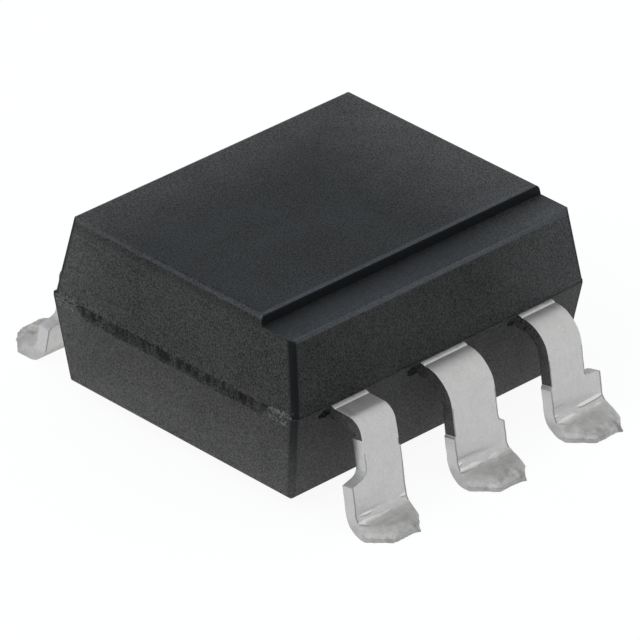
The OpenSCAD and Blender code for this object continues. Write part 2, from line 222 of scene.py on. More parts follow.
def feed(tree, socket, value):
    """Links a socket to another one, or sets its value."""
    if isinstance(value, bpy.types.NodeSocket):
        tree.links.new(value, socket)
    else:
        socket.default_value = value


def place(tree, kind, inputs=None, **settings):
    """Adds a node with its settings and inputs."""
    node = tree.nodes.new(kind)
    for name, value in settings.items():
        setattr(node, name, value)
    for name, value in (inputs or {}).items():
        feed(tree, node.inputs[name], value)
    return node


def maths(tree, operation, *values):
    """Adds a Math node and gives its result."""
    node = place(tree, "ShaderNodeMath", operation=operation)
    for socket, value in zip(node.inputs, values):
        feed(tree, socket, value)
    return node.outputs[0]


def times(tree, first, second):
    """The product of two values."""
    return maths(tree, "MULTIPLY", first, second)


def absolute(tree, value):
    """A value without its sign."""
    return maths(tree, "ABSOLUTE", value)


def split(tree, vector):
    """The X, Y and Z of a vector."""
    return place(tree, "ShaderNodeSeparateXYZ", {0: vector}).outputs


def joined(tree, x=0.0, y=0.0, z=0.0):
    """A vector of three values."""
    return place(tree, "ShaderNodeCombineXYZ", {"X": x, "Y": y, "Z": z}).outputs[0]


def vector_maths(tree, operation, *values):
    """Adds a Vector Math node and gives its vector."""
    node = place(tree, "ShaderNodeVectorMath", operation=operation)
    for socket, value in zip(node.inputs, values):
        feed(tree, socket, value)
    return node.outputs["Vector"]


def scaled(tree, vector, factor):
    """A vector times a number."""
    node = place(tree, "ShaderNodeVectorMath", {"Vector": vector, "Scale": factor}, operation="SCALE")
    return node.outputs["Vector"]


def between(tree, factor, low, high):
    """A value between two others."""
    node = place(tree, "ShaderNodeMix", data_type="FLOAT")
    for socket, value in zip((node.inputs[0], node.inputs[2], node.inputs[3]), (factor, low, high)):
        feed(tree, socket, value)
    return node.outputs[0]


def blended(tree, factor, first, second):
    """A colour between two others."""
    node = place(tree, "ShaderNodeMix", data_type="RGBA")
    for socket, value in zip((node.inputs[0], node.inputs[6], node.inputs[7]), (factor, first, second)):
        feed(tree, socket, value)
    return node.outputs[2]


def ranged(tree, value, low, high, to_low=0.0, to_high=1.0, smooth=False):
    """A value mapped from one range to another and held inside it."""
    node = place(
        tree, "ShaderNodeMapRange",
        {"Value": value, "From Min": low, "From Max": high, "To Min": to_low, "To Max": to_high},
        interpolation_type="SMOOTHSTEP" if smooth else "LINEAR",
    )
    return node.outputs[0]


def cloud(tree, vector, scale, detail=2.0, roughness=0.5, seed=0.0):
    """Noise from 0 to 1, with a seed."""
    node = place(
        tree, "ShaderNodeTexNoise",
        {"Vector": vector, "W": seed, "Scale": scale, "Detail": detail, "Roughness": roughness},
        noise_dimensions="4D",
    )
    return node.outputs[0]


def new_group(name, kind, inputs, outputs):
    """A node group with named sockets, what it is given and its output node."""
    tree = bpy.data.node_groups.new(name, kind)
    for label, socket_type, value in inputs:
        socket = tree.interface.new_socket(label, in_out="INPUT", socket_type=socket_type)
        if value is not None:
            socket.default_value = value
    for label, socket_type in outputs:
        tree.interface.new_socket(label, in_out="OUTPUT", socket_type=socket_type)
    given = tree.nodes.new("NodeGroupInput").outputs
    return tree, given, tree.nodes.new("NodeGroupOutput")


def masks(*labels):
    """Sockets of a group that puts out masks."""
    return [(label, "NodeSocketFloat") for label in labels]


def millimetres(tree):
    """Object coordinates in millimetres."""
    coordinates = tree.nodes.new("ShaderNodeTexCoord").outputs["Object"]
    return scaled(tree, coordinates, 1 / MM)


def facing(tree):
    """X, Y and Z of the direction that a surface faces."""
    return split(tree, place(tree, "ShaderNodeTexCoord").outputs["Normal"])


# Moulding: scale of the wide grain and of the specks against the fine grain, share of the wide grain
# in the height, and the ranges of noise that become 0 to 1
WIDE_GRAIN, SPECK_GRAIN, WIDE_SHARE = 0.37, 0.8, 0.4
SPECK_RANGE, TONE_RANGE = (0.36, 0.64), (0.28, 0.72)


def moulding_grain():
    """Grain of a spark-eroded mould: fine height, specks and a cloudy tone."""
    name = "moulding_grain"
    if name in bpy.data.node_groups:
        return bpy.data.node_groups[name]
    tree, given, result = new_group(
        name, "ShaderNodeTree",
        [("Grain Size", "NodeSocketFloat", 0.04), ("Mottle Size", "NodeSocketFloat", 1.0)],
        masks("Height", "Speck", "Tone"),
    )
    at = millimetres(tree)
    fine = maths(tree, "DIVIDE", 1.0, given["Grain Size"])
    coarse = maths(tree, "DIVIDE", 1.0, given["Mottle Size"])
    small = cloud(tree, at, fine, detail=3.0, roughness=0.62)
    wide = cloud(tree, at, times(tree, fine, WIDE_GRAIN), seed=3.0)
    feed(tree, result.inputs["Height"], between(tree, WIDE_SHARE, small, wide))
    speck = cloud(tree, at, times(tree, fine, SPECK_GRAIN), detail=1.0, seed=8.0)
    feed(tree, result.inputs["Speck"], ranged(tree, speck, *SPECK_RANGE))
    tone = cloud(tree, at, coarse, detail=5.0, roughness=0.6, seed=5.0)
    feed(tree, result.inputs["Tone"], ranged(tree, tone, *TONE_RANGE))
    return tree


# Plating: marks a millimetre across the strip and along it, since rolling leaves them narrow and long,
# their share in the height, and the ranges of noise that become 0 to 1
MARK_STRETCH, MARK_SHARE = (14.0, 1.6, 1.6), 0.1
CRYSTAL_RANGE, PATCH_RANGE, MARK_RANGE = (0.35, 0.65), (0.35, 0.7), (0.3, 0.7)


def plating_marks():
    """Marks of plated strip: fine crystals, marks along the strip and dull patches."""
    name = "plating_marks"
    if name in bpy.data.node_groups:
        return bpy.data.node_groups[name]
    tree, given, result = new_group(
        name, "ShaderNodeTree",
        [("Crystal Size", "NodeSocketFloat", 0.03), ("Patch Size", "NodeSocketFloat", 0.35)],
        masks("Height", "Crystal", "Patch", "Mark"),
    )
    at = millimetres(tree)
    crystal_scale = maths(tree, "DIVIDE", 1.0, given["Crystal Size"])
    crystals = cloud(tree, at, crystal_scale, roughness=0.6)
    patch_scale = maths(tree, "DIVIDE", 1.0, given["Patch Size"])
    patches = cloud(tree, at, patch_scale, detail=4.0, roughness=0.6, seed=2.0)
    along = vector_maths(tree, "MULTIPLY", at, MARK_STRETCH)
    marks = cloud(tree, along, 1.0, seed=6.0)
    feed(tree, result.inputs["Height"], between(tree, MARK_SHARE, crystals, marks))
    feed(tree, result.inputs["Crystal"], ranged(tree, crystals, *CRYSTAL_RANGE))
    feed(tree, result.inputs["Patch"], ranged(tree, patches, *PATCH_RANGE))
    feed(tree, result.inputs["Mark"], ranged(tree, marks, *MARK_RANGE))
    return tree


def new_material(name):
    """A material with a Principled shader, its tree and the shader."""
    material = bpy.data.materials.new(name)
    material.use_nodes = True
    tree = material.node_tree
    return material, tree, tree.nodes["Principled BSDF"]


def grouped(tree, group, **values):
    """Places a shader group. Underscores in the names stand for spaces."""
    node = place(tree, "ShaderNodeGroup", node_tree=group)
    for label, value in values.items():
        feed(tree, node.inputs[label.replace("_", " ")], value)
    return node.outputs


def raised(tree, shader, height, depth):
    """Gives a shader a bump of the given depth in millimetres."""
    bump = place(tree, "ShaderNodeBump", {"Strength": 1.0, "Distance": depth * MM, "Height": height})
    feed(tree, shader.inputs["Normal"], bump.outputs[0])


def solid(value, strength=1.0):
    """A colour of some strength with full alpha."""
    return (*(strength * part for part in value), 1.0)


def surfaced(tree, shader, tone, mark, height, rough, depth):
    """Gives a shader its colour, a roughness that follows a mark, and a bump in millimetres."""
    feed(tree, shader.inputs["Base Color"], tone)
    feed(tree, shader.inputs["Roughness"], ranged(tree, mark, 0.0, 1.0, *rough))
    raised(tree, shader, height, depth)


# Where the moulding grows lighter toward the far end, the far side and the foot, from and to along each
# axis in millimetres. Toward the foot the lighter tone is painted bounce light from the floor
FAR_X, FAR_Y, BOUNCE_Z = (0.6, 3.6), (0.9, 3.3), (2.4, 0.4)
BOUNCE_AT_FOOT = 0.9
# Strength of that lighter tone in its dark and light grains
LIFT_DARK, LIFT_LIGHT = 0.25, 1.15
# How fast the two walls beside a corner draw in together, below and above the parting line
WALL_DRAW = (0.255, 0.298)
# Corners: share of the lip that the upper half stands back, facing's Y on the lead sides, facing's Z
# below the rims, and the heights with their strengths
CORNER_LIP, LEAD_SIDE, CORNER_FACE = 0.9, (0.7, 0.9), (0.9, 0.7)
CORNER_HEIGHTS, CORNER_SHARES = (0.4, 2.6), (0.2, 1.0)
# Facing's Z where a face has turned over from the top and not yet into a wall
FROM_TOP, FROM_WALL = (0.99, 0.9), (0.26, 0.44)
# Facing's X on the end rims, whose painted highlight is half as strong
END_RIM, END_HIGHLIGHT = (0.15, 0.4), (1.0, 0.5)
# Strip along the brow of the step, how strong its painted highlight is, and how the highlight falls off
# toward the far side
BROW_STRIP, BROW_HIGHLIGHT = (0.08, 0.02), (0.0, 0.66)
FRONT_Y, FRONT_HIGHLIGHT = (0.0, -2.0), (0.6, 1.0)
# Heights from the ledge: where rims start and are full, where the top begins, what still is ledge
RIM_START, RIM_FULL, TOP_START, LEDGE_SKIN = -0.25, -0.15, 0.15, 0.004
# Facing of the step's wall, which gets painted shade, and of the ledge
STEP_FACE, LEDGE_FACE = (-0.5, -0.8), (0.9, 0.97)
# Painted shade on the ledge at the step's foot, and a band of painted shade under the rims of the ends
FOOT_SHADE, FOOT_DARK = 0.62, 0.05
BAND_DROP, BAND_HALF, BAND_SHARE = 0.14, (0.12, 0.02), (0.0, 0.5)
END_FACE = (0.85, 0.95)


def far_and_bounce_mask(tree):
    """0 in the middle of the faces and 1 toward the far end, the far side and the foot. Toward the foot it
    is painted bounce light from the floor.
    """
    spot = split(tree, millimetres(tree))
    sides = maths(
        tree, "MAXIMUM", ranged(tree, spot["X"], *FAR_X, smooth=True),
        ranged(tree, spot["Y"], *FAR_Y, smooth=True),
    )
    return maths(tree, "MAXIMUM", sides, ranged(tree, spot["Z"], *BOUNCE_Z, 0.0, BOUNCE_AT_FOOT))


def dark_corner_mask(tree, look, spot, lean):
    """Mask of the painted dark reflection on the upright corners, strongest above the parting line."""
    parting, lip = look.parting_z / MM, look.end_lip / MM
    upper = maths(tree, "GREATER_THAN", spot["Z"], parting)
    rise = absolute(tree, maths(tree, "SUBTRACT", spot["Z"], parting))
    fall = times(tree, rise, ranged(tree, upper, 0.0, 1.0, *WALL_DRAW))
    widest = BODY_HIGH.x + BODY_HIGH.y - look.corner_cut / MM
    reach = ranged(tree, upper, 0.0, 1.0, widest, widest - CORNER_LIP * lip)
    along = maths(tree, "SUBTRACT", spot["X"], times(tree, upper, lip / 2))
    out = maths(tree, "ADD", absolute(tree, along), absolute(tree, spot["Y"]))
    inside = maths(tree, "SUBTRACT", maths(tree, "SUBTRACT", reach, fall), out)
    # The painted dark reflection fades over half the width on the lead sides
    inside = times(tree, inside, ranged(tree, absolute(tree, lean["Y"]), *LEAD_SIDE, 1.0, 2.0))
    near = maths(tree, "POWER", ranged(tree, inside, look.corner_soft / MM, 0.0), 2.0)
    near = times(tree, near, ranged(tree, spot["Z"], *CORNER_HEIGHTS, *CORNER_SHARES))
    return times(tree, near, ranged(tree, lean["Z"], *CORNER_FACE))


def rim_highlight_mask(tree, look, spot, lean):
    """Mask of the painted highlight on the rims: where a face turns over, and the flat strip along the
    step's brow.
    """
    ledge_z = look.ledge_z / MM
    turned = times(tree, ranged(tree, lean["Z"], *FROM_TOP), ranged(tree, lean["Z"], *FROM_WALL))
    turned = times(tree, turned, ranged(tree, absolute(tree, lean["X"]), *END_RIM, *END_HIGHLIGHT))
    from_brow = absolute(tree, maths(tree, "ADD", spot["Y"], look.step_brow / MM))
    on_top = maths(tree, "GREATER_THAN", spot["Z"], ledge_z + TOP_START)
    strip = times(tree, ranged(tree, from_brow, *BROW_STRIP, *BROW_HIGHLIGHT), on_top)
    front = ranged(tree, spot["Y"], *FRONT_Y, *FRONT_HIGHLIGHT)
    high = times(tree, front, ranged(tree, spot["Z"], ledge_z + RIM_START, ledge_z + RIM_FULL))
    return times(tree, maths(tree, "MAXIMUM", turned, strip), high)


def painted_light_masks(tree, look):
    """Masks of painted light and shade: highlight on the rims, shade on the corners and step wall, the
    ledge, and shade at the step's foot and under the rims.
    """
    spot, lean = split(tree, millimetres(tree)), facing(tree)
    foot, ledge_z = look.step_foot / MM, look.ledge_z / MM
    above_ledge = maths(tree, "GREATER_THAN", spot["Z"], ledge_z + LEDGE_SKIN)
    wall = times(tree, ranged(tree, lean["Y"], *STEP_FACE), above_ledge)
    up_to_ledge = maths(tree, "LESS_THAN", spot["Z"], ledge_z + LEDGE_SKIN)
    on_ledge = times(tree, ranged(tree, lean["Z"], *LEDGE_FACE), up_to_ledge)
    shaded = times(tree, on_ledge, ranged(tree, spot["Y"], -foot - FOOT_SHADE, -foot - FOOT_DARK))
    under_rim = absolute(tree, maths(tree, "SUBTRACT", spot["Z"], BODY_HIGH.z - BAND_DROP))
    on_end = ranged(tree, absolute(tree, lean["X"]), *END_FACE)
    band = times(tree, on_end, ranged(tree, under_rim, *BAND_HALF, *BAND_SHARE))
    shaded = maths(tree, "MAXIMUM", shaded, band)
    rim, corner = rim_highlight_mask(tree, look, spot, lean), dark_corner_mask(tree, look, spot, lean)
    return rim, corner, wall, on_ledge, shaded


def grained(tree, look):
    """The moulding's grain at the look's sizes."""
    return grouped(
        tree, moulding_grain(), Grain_Size=look.grain_size / MM, Mottle_Size=look.mottle_size / MM
    )


def far_and_bounce_tone(tree, look, mix):
    """Lighter tone toward the far sides, and painted bounce light toward the foot."""
    return blended(tree, mix, solid(look.far_and_bounce, LIFT_DARK), solid(look.far_and_bounce, LIFT_LIGHT))


# Share of the cloudy tone in the grain, facing's Z on faces that look up, which get a painted bluish sky
# light, and their contrast
MOTTLE_SHARE = 0.25
UPWARD, TOP_CONTRAST = (0.85, 0.97), (0.25, 0.75)
# Strength of the painted light and shade on the black moulding: light on the ledge, shade at the step's
# foot and under the rims, highlight on the rims, and shade on the corners and step wall
LEDGE_LIGHT, SHADE, RIM_HIGHLIGHT, DARK_SHARE = 0.2, 0.6, 0.55, 0.95


def black_tone(look):
    """Colour of the black moulding: grain, a lighter tone toward the far sides, painted sky light on faces
    that look up, painted bounce light toward the foot, painted light on the ledge, painted highlights on
    the rims, and painted shade on the corners, step wall, step's foot and under the rims.
    """
    name = "black_tone"
    if name in bpy.data.node_groups:
        return bpy.data.node_groups[name]
    tree, given, result = new_group(
        name, "ShaderNodeTree",
        [
            ("Speck", "NodeSocketFloat", None), ("Tone", "NodeSocketFloat", None),
            ("Ledge Wear", "NodeSocketFloat", LEDGE_LIGHT), ("Shade", "NodeSocketFloat", SHADE),
            ("Rim Wear", "NodeSocketFloat", RIM_HIGHLIGHT), ("Polish", "NodeSocketFloat", DARK_SHARE),
        ],
        [("Color", "NodeSocketColor")],
    )
    mix = between(tree, MOTTLE_SHARE, given["Speck"], given["Tone"])
    upward = ranged(tree, facing(tree)["Z"], *UPWARD)
    mix = between(tree, upward, mix, ranged(tree, mix, *TOP_CONTRAST))
    # Painted sky light: faces that look up take the bluish top tone
    light = blended(tree, upward, solid(look.light), solid(look.top))
    tone = blended(tree, mix, solid(look.dark), light)
    rim, corner, wall, ledge, shaded = painted_light_masks(tree, look)
    # Lighter toward the far sides, and painted bounce light toward the foot
    tone = blended(tree, far_and_bounce_mask(tree), tone, far_and_bounce_tone(tree, look, mix))
    # Painted light: the ledge takes some of the rims' lighter tone
    tone = blended(tree, times(tree, ledge, given["Ledge Wear"]), tone, solid(look.rim))
    tone = blended(tree, times(tree, shaded, given["Shade"]), tone, solid(look.dark))
    # Painted highlight on the rims, broken up by the specks
    painted = ranged(tree, given["Speck"], 0.0, 1.0, given["Rim Wear"], 1.0)
    tone = blended(tree, times(tree, rim, painted), tone, solid(look.rim))
    # Painted shade on the step wall and painted dark reflection on the corners
    painted_dark = times(tree, maths(tree, "MAXIMUM", corner, wall), given["Polish"])
    feed(tree, result.inputs["Color"], blended(tree, painted_dark, tone, solid(look.painted_dark)))
    return tree


def toned(tree, look, grain):
    """The black moulding's colour over a grain."""
    return grouped(tree, black_tone(look), Speck=grain["Speck"], Tone=grain["Tone"])["Color"]


def moulded(tree, shader, tone, grain, rough, depth, shine=0.5):
    """Finishes the shader of a moulding by its grain. The bump's depth is in millimetres."""
    surfaced(tree, shader, tone, grain["Speck"], grain["Height"], rough, depth)
    shader.inputs["Specular IOR Level"].default_value = shine


def black_moulding(look):
    """Filled black epoxy with the mould's grain."""
    material, tree, shader = new_material("black_moulding")
    grain = grained(tree, look)
    tone = toned(tree, look, grain)
    moulded(tree, shader, tone, grain, rough=(0.48, 0.66), depth=0.012, shine=0.12)
    return material


# The break has upright streaks and darkens upward from its lower rim: partly the broken epoxy's darker
# tone, partly painted shade under the upper half's edge
STREAK_STRETCH, STREAK_RANGE, STREAK_DARK = (1.0, 7.0, 1.8), (0.42, 0.58), (0.75, 0.0)
DARK_START, DARK_FULL = -0.01, 0.11


def broken_moulding(look):
    """Broken black epoxy, streaked across the break and darkest toward its upper rim, where painted shade
    lies under the upper half's edge.
    """
    material, tree, shader = new_material("broken_moulding")
    grain = grained(tree, look)
    at = millimetres(tree)
    stretched = vector_maths(tree, "MULTIPLY", at, STREAK_STRETCH)
    streaks = cloud(tree, stretched, 1.0, detail=3.0, roughness=0.6, seed=4.0)
    base = look.scar_base / MM
    upper = ranged(tree, split(tree, at)["Z"], base + DARK_START, base + DARK_FULL)
    # Partly painted shade: darker toward the upper rim, under the upper half's edge
    deep = times(tree, upper, ranged(tree, streaks, *STREAK_RANGE, *STREAK_DARK))
    tone = blended(tree, deep, toned(tree, look, grain), solid(look.broken))
    moulded(tree, shader, tone, grain, rough=(0.7, 0.9), depth=0.015, shine=0.1)
    return material


def flash_moulding(look):
    """Dull grains of epoxy flash."""
    material, tree, shader = new_material("flash_moulding")
    grain = grained(tree, look)
    tone = blended(tree, grain["Speck"], solid(look.light), solid(look.flash))
    moulded(tree, shader, tone, grain, rough=(0.6, 0.8), depth=0.015, shine=0.12)
    return material


# Light guide: share of the cloudy tone, how bright the lighter tone is, how much of the light scatters
# inside, and how far in millimetres
GUIDE_MOTTLE, GUIDE_BRIGHT, GUIDE_SCATTER, GUIDE_REACH = 0.3, 1.1, 0.3, 0.4


def pale_moulding(look, pale):
    """Pale light-guide epoxy."""
    material, tree, shader = new_material("pale_moulding")
    grain = grained(tree, look)
    mix = between(tree, GUIDE_MOTTLE, grain["Speck"], grain["Tone"])
    tone = blended(tree, mix, solid(pale), solid(pale, GUIDE_BRIGHT))
    moulded(tree, shader, tone, grain, rough=(0.42, 0.55), depth=0.004)
    shader.inputs["Subsurface Weight"].default_value = GUIDE_SCATTER
    shader.inputs["Subsurface Scale"].default_value = GUIDE_REACH * MM
    return material


# Painted highlight streaks in the lower bend: height, half width and seed. They sway,
# have gaps and a soft edge, and where one is wide enough a line of painted crease shade runs under it
STREAKS = ((0.3, 0.036, 3.0), (0.4, 0.032, 9.0))
STREAK_SWAY, STREAK_EDGE = 0.025, 0.012
SWAY_WAVES, SWAY_RANGE = 0.9, (0.3, 0.7)
GAP_WAVES, GAP_RANGE = 1.6, (0.46, 0.6)
CREASE_HALF, CREASE_FROM = (0.014, 0.004), (0.005, 0.02)
# Facing's Z in the lower bend
BEND_FACE = (0.93, 0.8)


def bend_highlight_masks(tree):
    """Masks of the painted highlight streaks in the lower bend, and of the painted crease shade under
    them.
    """
    spot = split(tree, millimetres(tree))
    across = joined(tree, x=spot["X"])
    streaks, crease_shades = 0.0, 0.0
    for height, wide, seed in STREAKS:
        swaying = cloud(tree, across, SWAY_WAVES, detail=1.0, seed=seed)
        sway = ranged(tree, swaying, *SWAY_RANGE, -STREAK_SWAY, STREAK_SWAY)
        off = maths(tree, "SUBTRACT", spot["Z"], maths(tree, "ADD", sway, height))
        gaps = cloud(tree, across, GAP_WAVES, detail=1.0, seed=seed + 2.0)
        half = ranged(tree, gaps, *GAP_RANGE, 0.0, wide)
        inside = maths(tree, "SUBTRACT", half, absolute(tree, off))
        streaks = maths(tree, "MAXIMUM", streaks, ranged(tree, inside, 0.0, STREAK_EDGE))
        below = absolute(tree, maths(tree, "ADD", off, maths(tree, "ADD", half, STREAK_EDGE)))
        crease_shade = times(tree, ranged(tree, below, *CREASE_HALF), ranged(tree, half, *CREASE_FROM))
        crease_shades = maths(tree, "MAXIMUM", crease_shades, crease_shade)
    lean = facing(tree)
    outward = maths(tree, "GREATER_THAN", times(tree, lean["Y"], spot["Y"]), 0.0)
    bend = times(tree, ranged(tree, lean["Z"], *BEND_FACE), outward)
    return times(tree, streaks, bend), times(tree, crease_shades, bend)


# Heights of the foot and of the clamped flat, and the toe's distance from the middle, in millimetres
FOOT_HEIGHTS, CLAMP_HEIGHTS = (0.4, 0.2), (1.95, 2.05)
TOE_DISTANCES = (TOE_REACH - 0.5, TOE_REACH - 0.22)
# How dull patches are, and the share of the crystals against them
PATCH_DULL, CRYSTAL_SHARE = 0.5, 0.5
# Strength of the painted highlight streaks and painted crease shade, of the stain at the toe, and how matt
# foot and flat are
HIGHLIGHT_SHARE, CREASE_SHADE, TOE_STAIN, FOOT_MATT, CLAMP_MATT = 0.8, 0.85, 3.0, 0.3, 0.1


def forming_wear():
    """Wear of a formed lead: stains toward the toe, and how matt the foot and the clamped flat are."""
    name = "forming_wear"
    if name in bpy.data.node_groups:
        return bpy.data.node_groups[name]
    tree, given, result = new_group(
        name, "ShaderNodeTree",
        [("Patch", "NodeSocketFloat", None), ("Strength", "NodeSocketFloat", None)],
        masks("Stain", "Matt"),
    )
    spot = split(tree, millimetres(tree))
    low = ranged(tree, spot["Z"], *FOOT_HEIGHTS, smooth=True)
    at_toe = ranged(tree, absolute(tree, spot["Y"]), *TOE_DISTANCES, 1.0, TOE_STAIN, smooth=True)
    stained = times(tree, times(tree, given["Patch"], low), given["Strength"])
    stained = maths(tree, "MINIMUM", times(tree, stained, at_toe), 1.0)
    feed(tree, result.inputs["Stain"], stained)
    clamped = times(tree, ranged(tree, spot["Z"], *CLAMP_HEIGHTS), CLAMP_MATT)
    matt = maths(tree, "MAXIMUM", times(tree, low, FOOT_MATT), clamped)
    feed(tree, result.inputs["Matt"], matt)
    return tree


def tin_plate(name, look, rough, depth, stain_and_shade, highlit=False, metal=1.0, painted=0.0):
    """Tin plate, stained toward the toe. It can take painted highlight streaks with painted crease shade
    in the bend, and painted shade on corners.
    """
    material, tree, shader = new_material(name)
    shader.inputs["Metallic"].default_value = metal
    marks = grouped(tree, plating_marks(), Crystal_Size=0.026, Patch_Size=0.2)
    dull = between(tree, CRYSTAL_SHARE, times(tree, marks["Patch"], PATCH_DULL), marks["Crystal"])
    tin = [(1 - painted) * part + painted * dark for part, dark in zip(look.tin, look.stain_and_shade)]
    tone = blended(tree, dull, solid(tin), solid(look.stain_and_shade if painted else look.tarnish))
    if highlit:
        # Painted highlight streaks in the bend, with painted crease shade under them
        streaks, crease_shades = bend_highlight_masks(tree)
        tone = blended(tree, times(tree, streaks, HIGHLIGHT_SHARE), tone, solid(look.highlit))
        # Painted crease shade in the darker tin tone
        tone = blended(tree, times(tree, crease_shades, CREASE_SHADE), tone, solid(look.stain_and_shade))
    wear = grouped(tree, forming_wear(), Patch=marks["Patch"], Strength=stain_and_shade)
    feed(tree, shader.inputs["Base Color"], blended(tree, wear["Stain"], tone, solid(look.stain_and_shade)))
    roughness = maths(tree, "ADD", ranged(tree, marks["Mark"], 0.0, 1.0, *rough), wear["Matt"])
    feed(tree, shader.inputs["Roughness"], roughness)
    raised(tree, shader, marks["Height"], depth)
    return material


def resin_film_and_reflection(look):
    """Thin film of black epoxy left on the sides of the leads, down to the cut tie bar. It also paints the
    dark reflection of the body on those sides.
    """
    material, tree, shader = new_material("resin_film_and_reflection")
    grain = grained(tree, look)
    tone = blended(tree, grain["Speck"], solid(look.dark), solid(look.light))
    moulded(tree, shader, tone, grain, rough=(0.4, 0.6), depth=0.006)
    return material


# Meshes

def node_mesh(node):
    """A CAD node's mesh in millimetres, with its loose triangles joined."""
    mesh = bmesh.new()
    mesh.from_mesh(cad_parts[node].data)
    bmesh.ops.scale(mesh, vec=Vector((1, 1, 1)) / MM, verts=mesh.verts)
    bmesh.ops.remove_doubles(mesh, verts=mesh.verts, dist=MERGE)
    bmesh.ops.dissolve_limit(mesh, angle_limit=FLAT_ANGLE, verts=mesh.verts, edges=mesh.edges)
    return mesh


def loose_object(name, mesh):
    """A working object for a bmesh or a mesh, in millimetres."""
    data = mesh
    if isinstance(mesh, bmesh.types.BMesh):
        data = bpy.data.meshes.new(name)
        mesh.to_mesh(data)
        mesh.free()
    made = bpy.data.objects.new(name, data)
    bpy.context.scene.collection.objects.link(made)
    return made


def settled(made):
    """The plain mesh of an object with its modifiers done. The object goes."""
    graph = bpy.context.evaluated_depsgraph_get()
    data = bpy.data.meshes.new_from_object(made.evaluated_get(graph))
    old = made.data
    bpy.data.objects.remove(made)
    bpy.data.meshes.remove(old)
    return data


def set_inputs(modifier, **values):
    """Sets a Geometry Nodes modifier's inputs by their identifiers."""
    sockets = {
        item.name: item.identifier
        for item in modifier.node_group.interface.items_tree
        if item.item_type == "SOCKET" and item.in_out == "INPUT"
    }
    for label, value in values.items():
        modifier[sockets[label.replace("_", " ")]] = value


def without_kept_normals(mesh):
    """Drops the normals that came with the CAD mesh."""
    if mesh.has_custom_normals:
        mesh.attributes.remove(mesh.attributes["custom_normal"])


def smooth_shaded(mesh, sharp_degrees):
    """Smooth shading, with sharp edges past an angle."""
    without_kept_normals(mesh)
    mesh.shade_smooth()
    mesh.set_sharp_from_angle(angle=math.radians(sharp_degrees))


def finished_piece(name, mesh, node):
    """A piece at the origin, in metres, that stands for a CAD node."""
    mesh.transform(Matrix.Scale(MM, 4))
    mesh.name = name
    piece = bpy.data.objects.new(name, mesh)
    bpy.context.scene.collection.objects.link(piece)
    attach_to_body(piece, BODY)
    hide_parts(node)
    return piece


def dress_node(node, material):
    """Gives a CAD node its material."""
    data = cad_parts[node].data
    data.materials.clear()
    data.materials.append(material)


# Black moulding

# Layered noise: how fast the layers weaken, how much finer each is, how many, and how far apart
# two seeds are
LAYER_FALL, LAYER_STEP, LAYERS, SEED_APART = 0.8, 2.1, 3, 31.7


def grainy(x, y, z, size, seed):
    """Layered noise about zero at a place, for grains of the given size."""
    at = Vector((x / size, y / size, z / size + SEED_APART * seed))
    return noise.fractal(at, LAYER_FALL, LAYER_STEP, LAYERS)


def end_wall(look, z):
    """X of the gate end's wall at a height."""
    parting = look.parting_z / MM
    if z < parting:
        return BODY_LOW.x + (parting - z) * math.tan(look.lower_draft)
    return BODY_LOW.x + look.end_lip / MM + (z - parting) * math.tan(look.upper_draft)


def eased(value, start, end):
    """0 at the start, 1 at the end, and smooth between them."""
    done = max(0.0, min(1.0, (value - start) / (end - start)))
    return done * done * (3 - 2 * done)


def ragged_slab(columns, rows, surface, back_x):
    """A closed slab with an uneven face, given by a function of two shares, and a flat back."""
    mesh = bmesh.new()
    grid = [
        [mesh.verts.new(surface(i / columns, j / rows)) for j in range(rows + 1)]
        for i in range(columns + 1)
    ]
    for left, right in zip(grid, grid[1:]):
        for j in range(rows):
            mesh.faces.new((left[j], left[j + 1], right[j + 1], right[j]))
    rim = [column[0] for column in grid] + grid[-1][1:] + [column[-1] for column in grid[-2::-1]]
    rim += grid[0][-2:0:-1]
    back = [mesh.verts.new((back_x, vert.co.y, vert.co.z)) for vert in rim]
    for k, vert in enumerate(rim):
        after = (k + 1) % len(rim)
        mesh.faces.new((vert, rim[after], back[after], back[k]))
    mesh.faces.new(back)
    bmesh.ops.recalc_face_normals(mesh, faces=mesh.faces)
    return mesh


# The break in millimetres: how far it runs out past its length and fades inside it, how far the
# cutter stands clear of the walls, and its cells and rows
BREAK_RUN_OUT, BREAK_FADE, BREAK_CLEAR = 0.2, 0.3, 0.006
BREAK_CELL, BREAK_ROWS = 0.026, 14
# Sizes of the small and large teeth, of the lower rim's waves, and of the tears and grains
TOOTH, LARGE_TOOTH, RIM_WAVE, TEAR, CRUMB = 0.13, 0.4, 0.3, 0.11, 0.06
RIM_WANDER, TALLEST_TOOTH, SHALLOWEST_TEAR = 0.008, 1.3, 0.1
# Mean height of the teeth and what small and large ones add, and the same for the tears' depth. Tears
# are longer upright
MEAN_TOOTH, SMALL_TEETH, LARGE_TEETH = 0.5, 0.9, 0.4
MEAN_TEAR, TEAR_SPREAD, TEAR_UPRIGHT = 0.7, 1.1, 0.4
# Where the cutters lie outside the body: the break's ends and its back
BREAK_OUTSIDE, BREAK_BACK = 0.02, 0.3


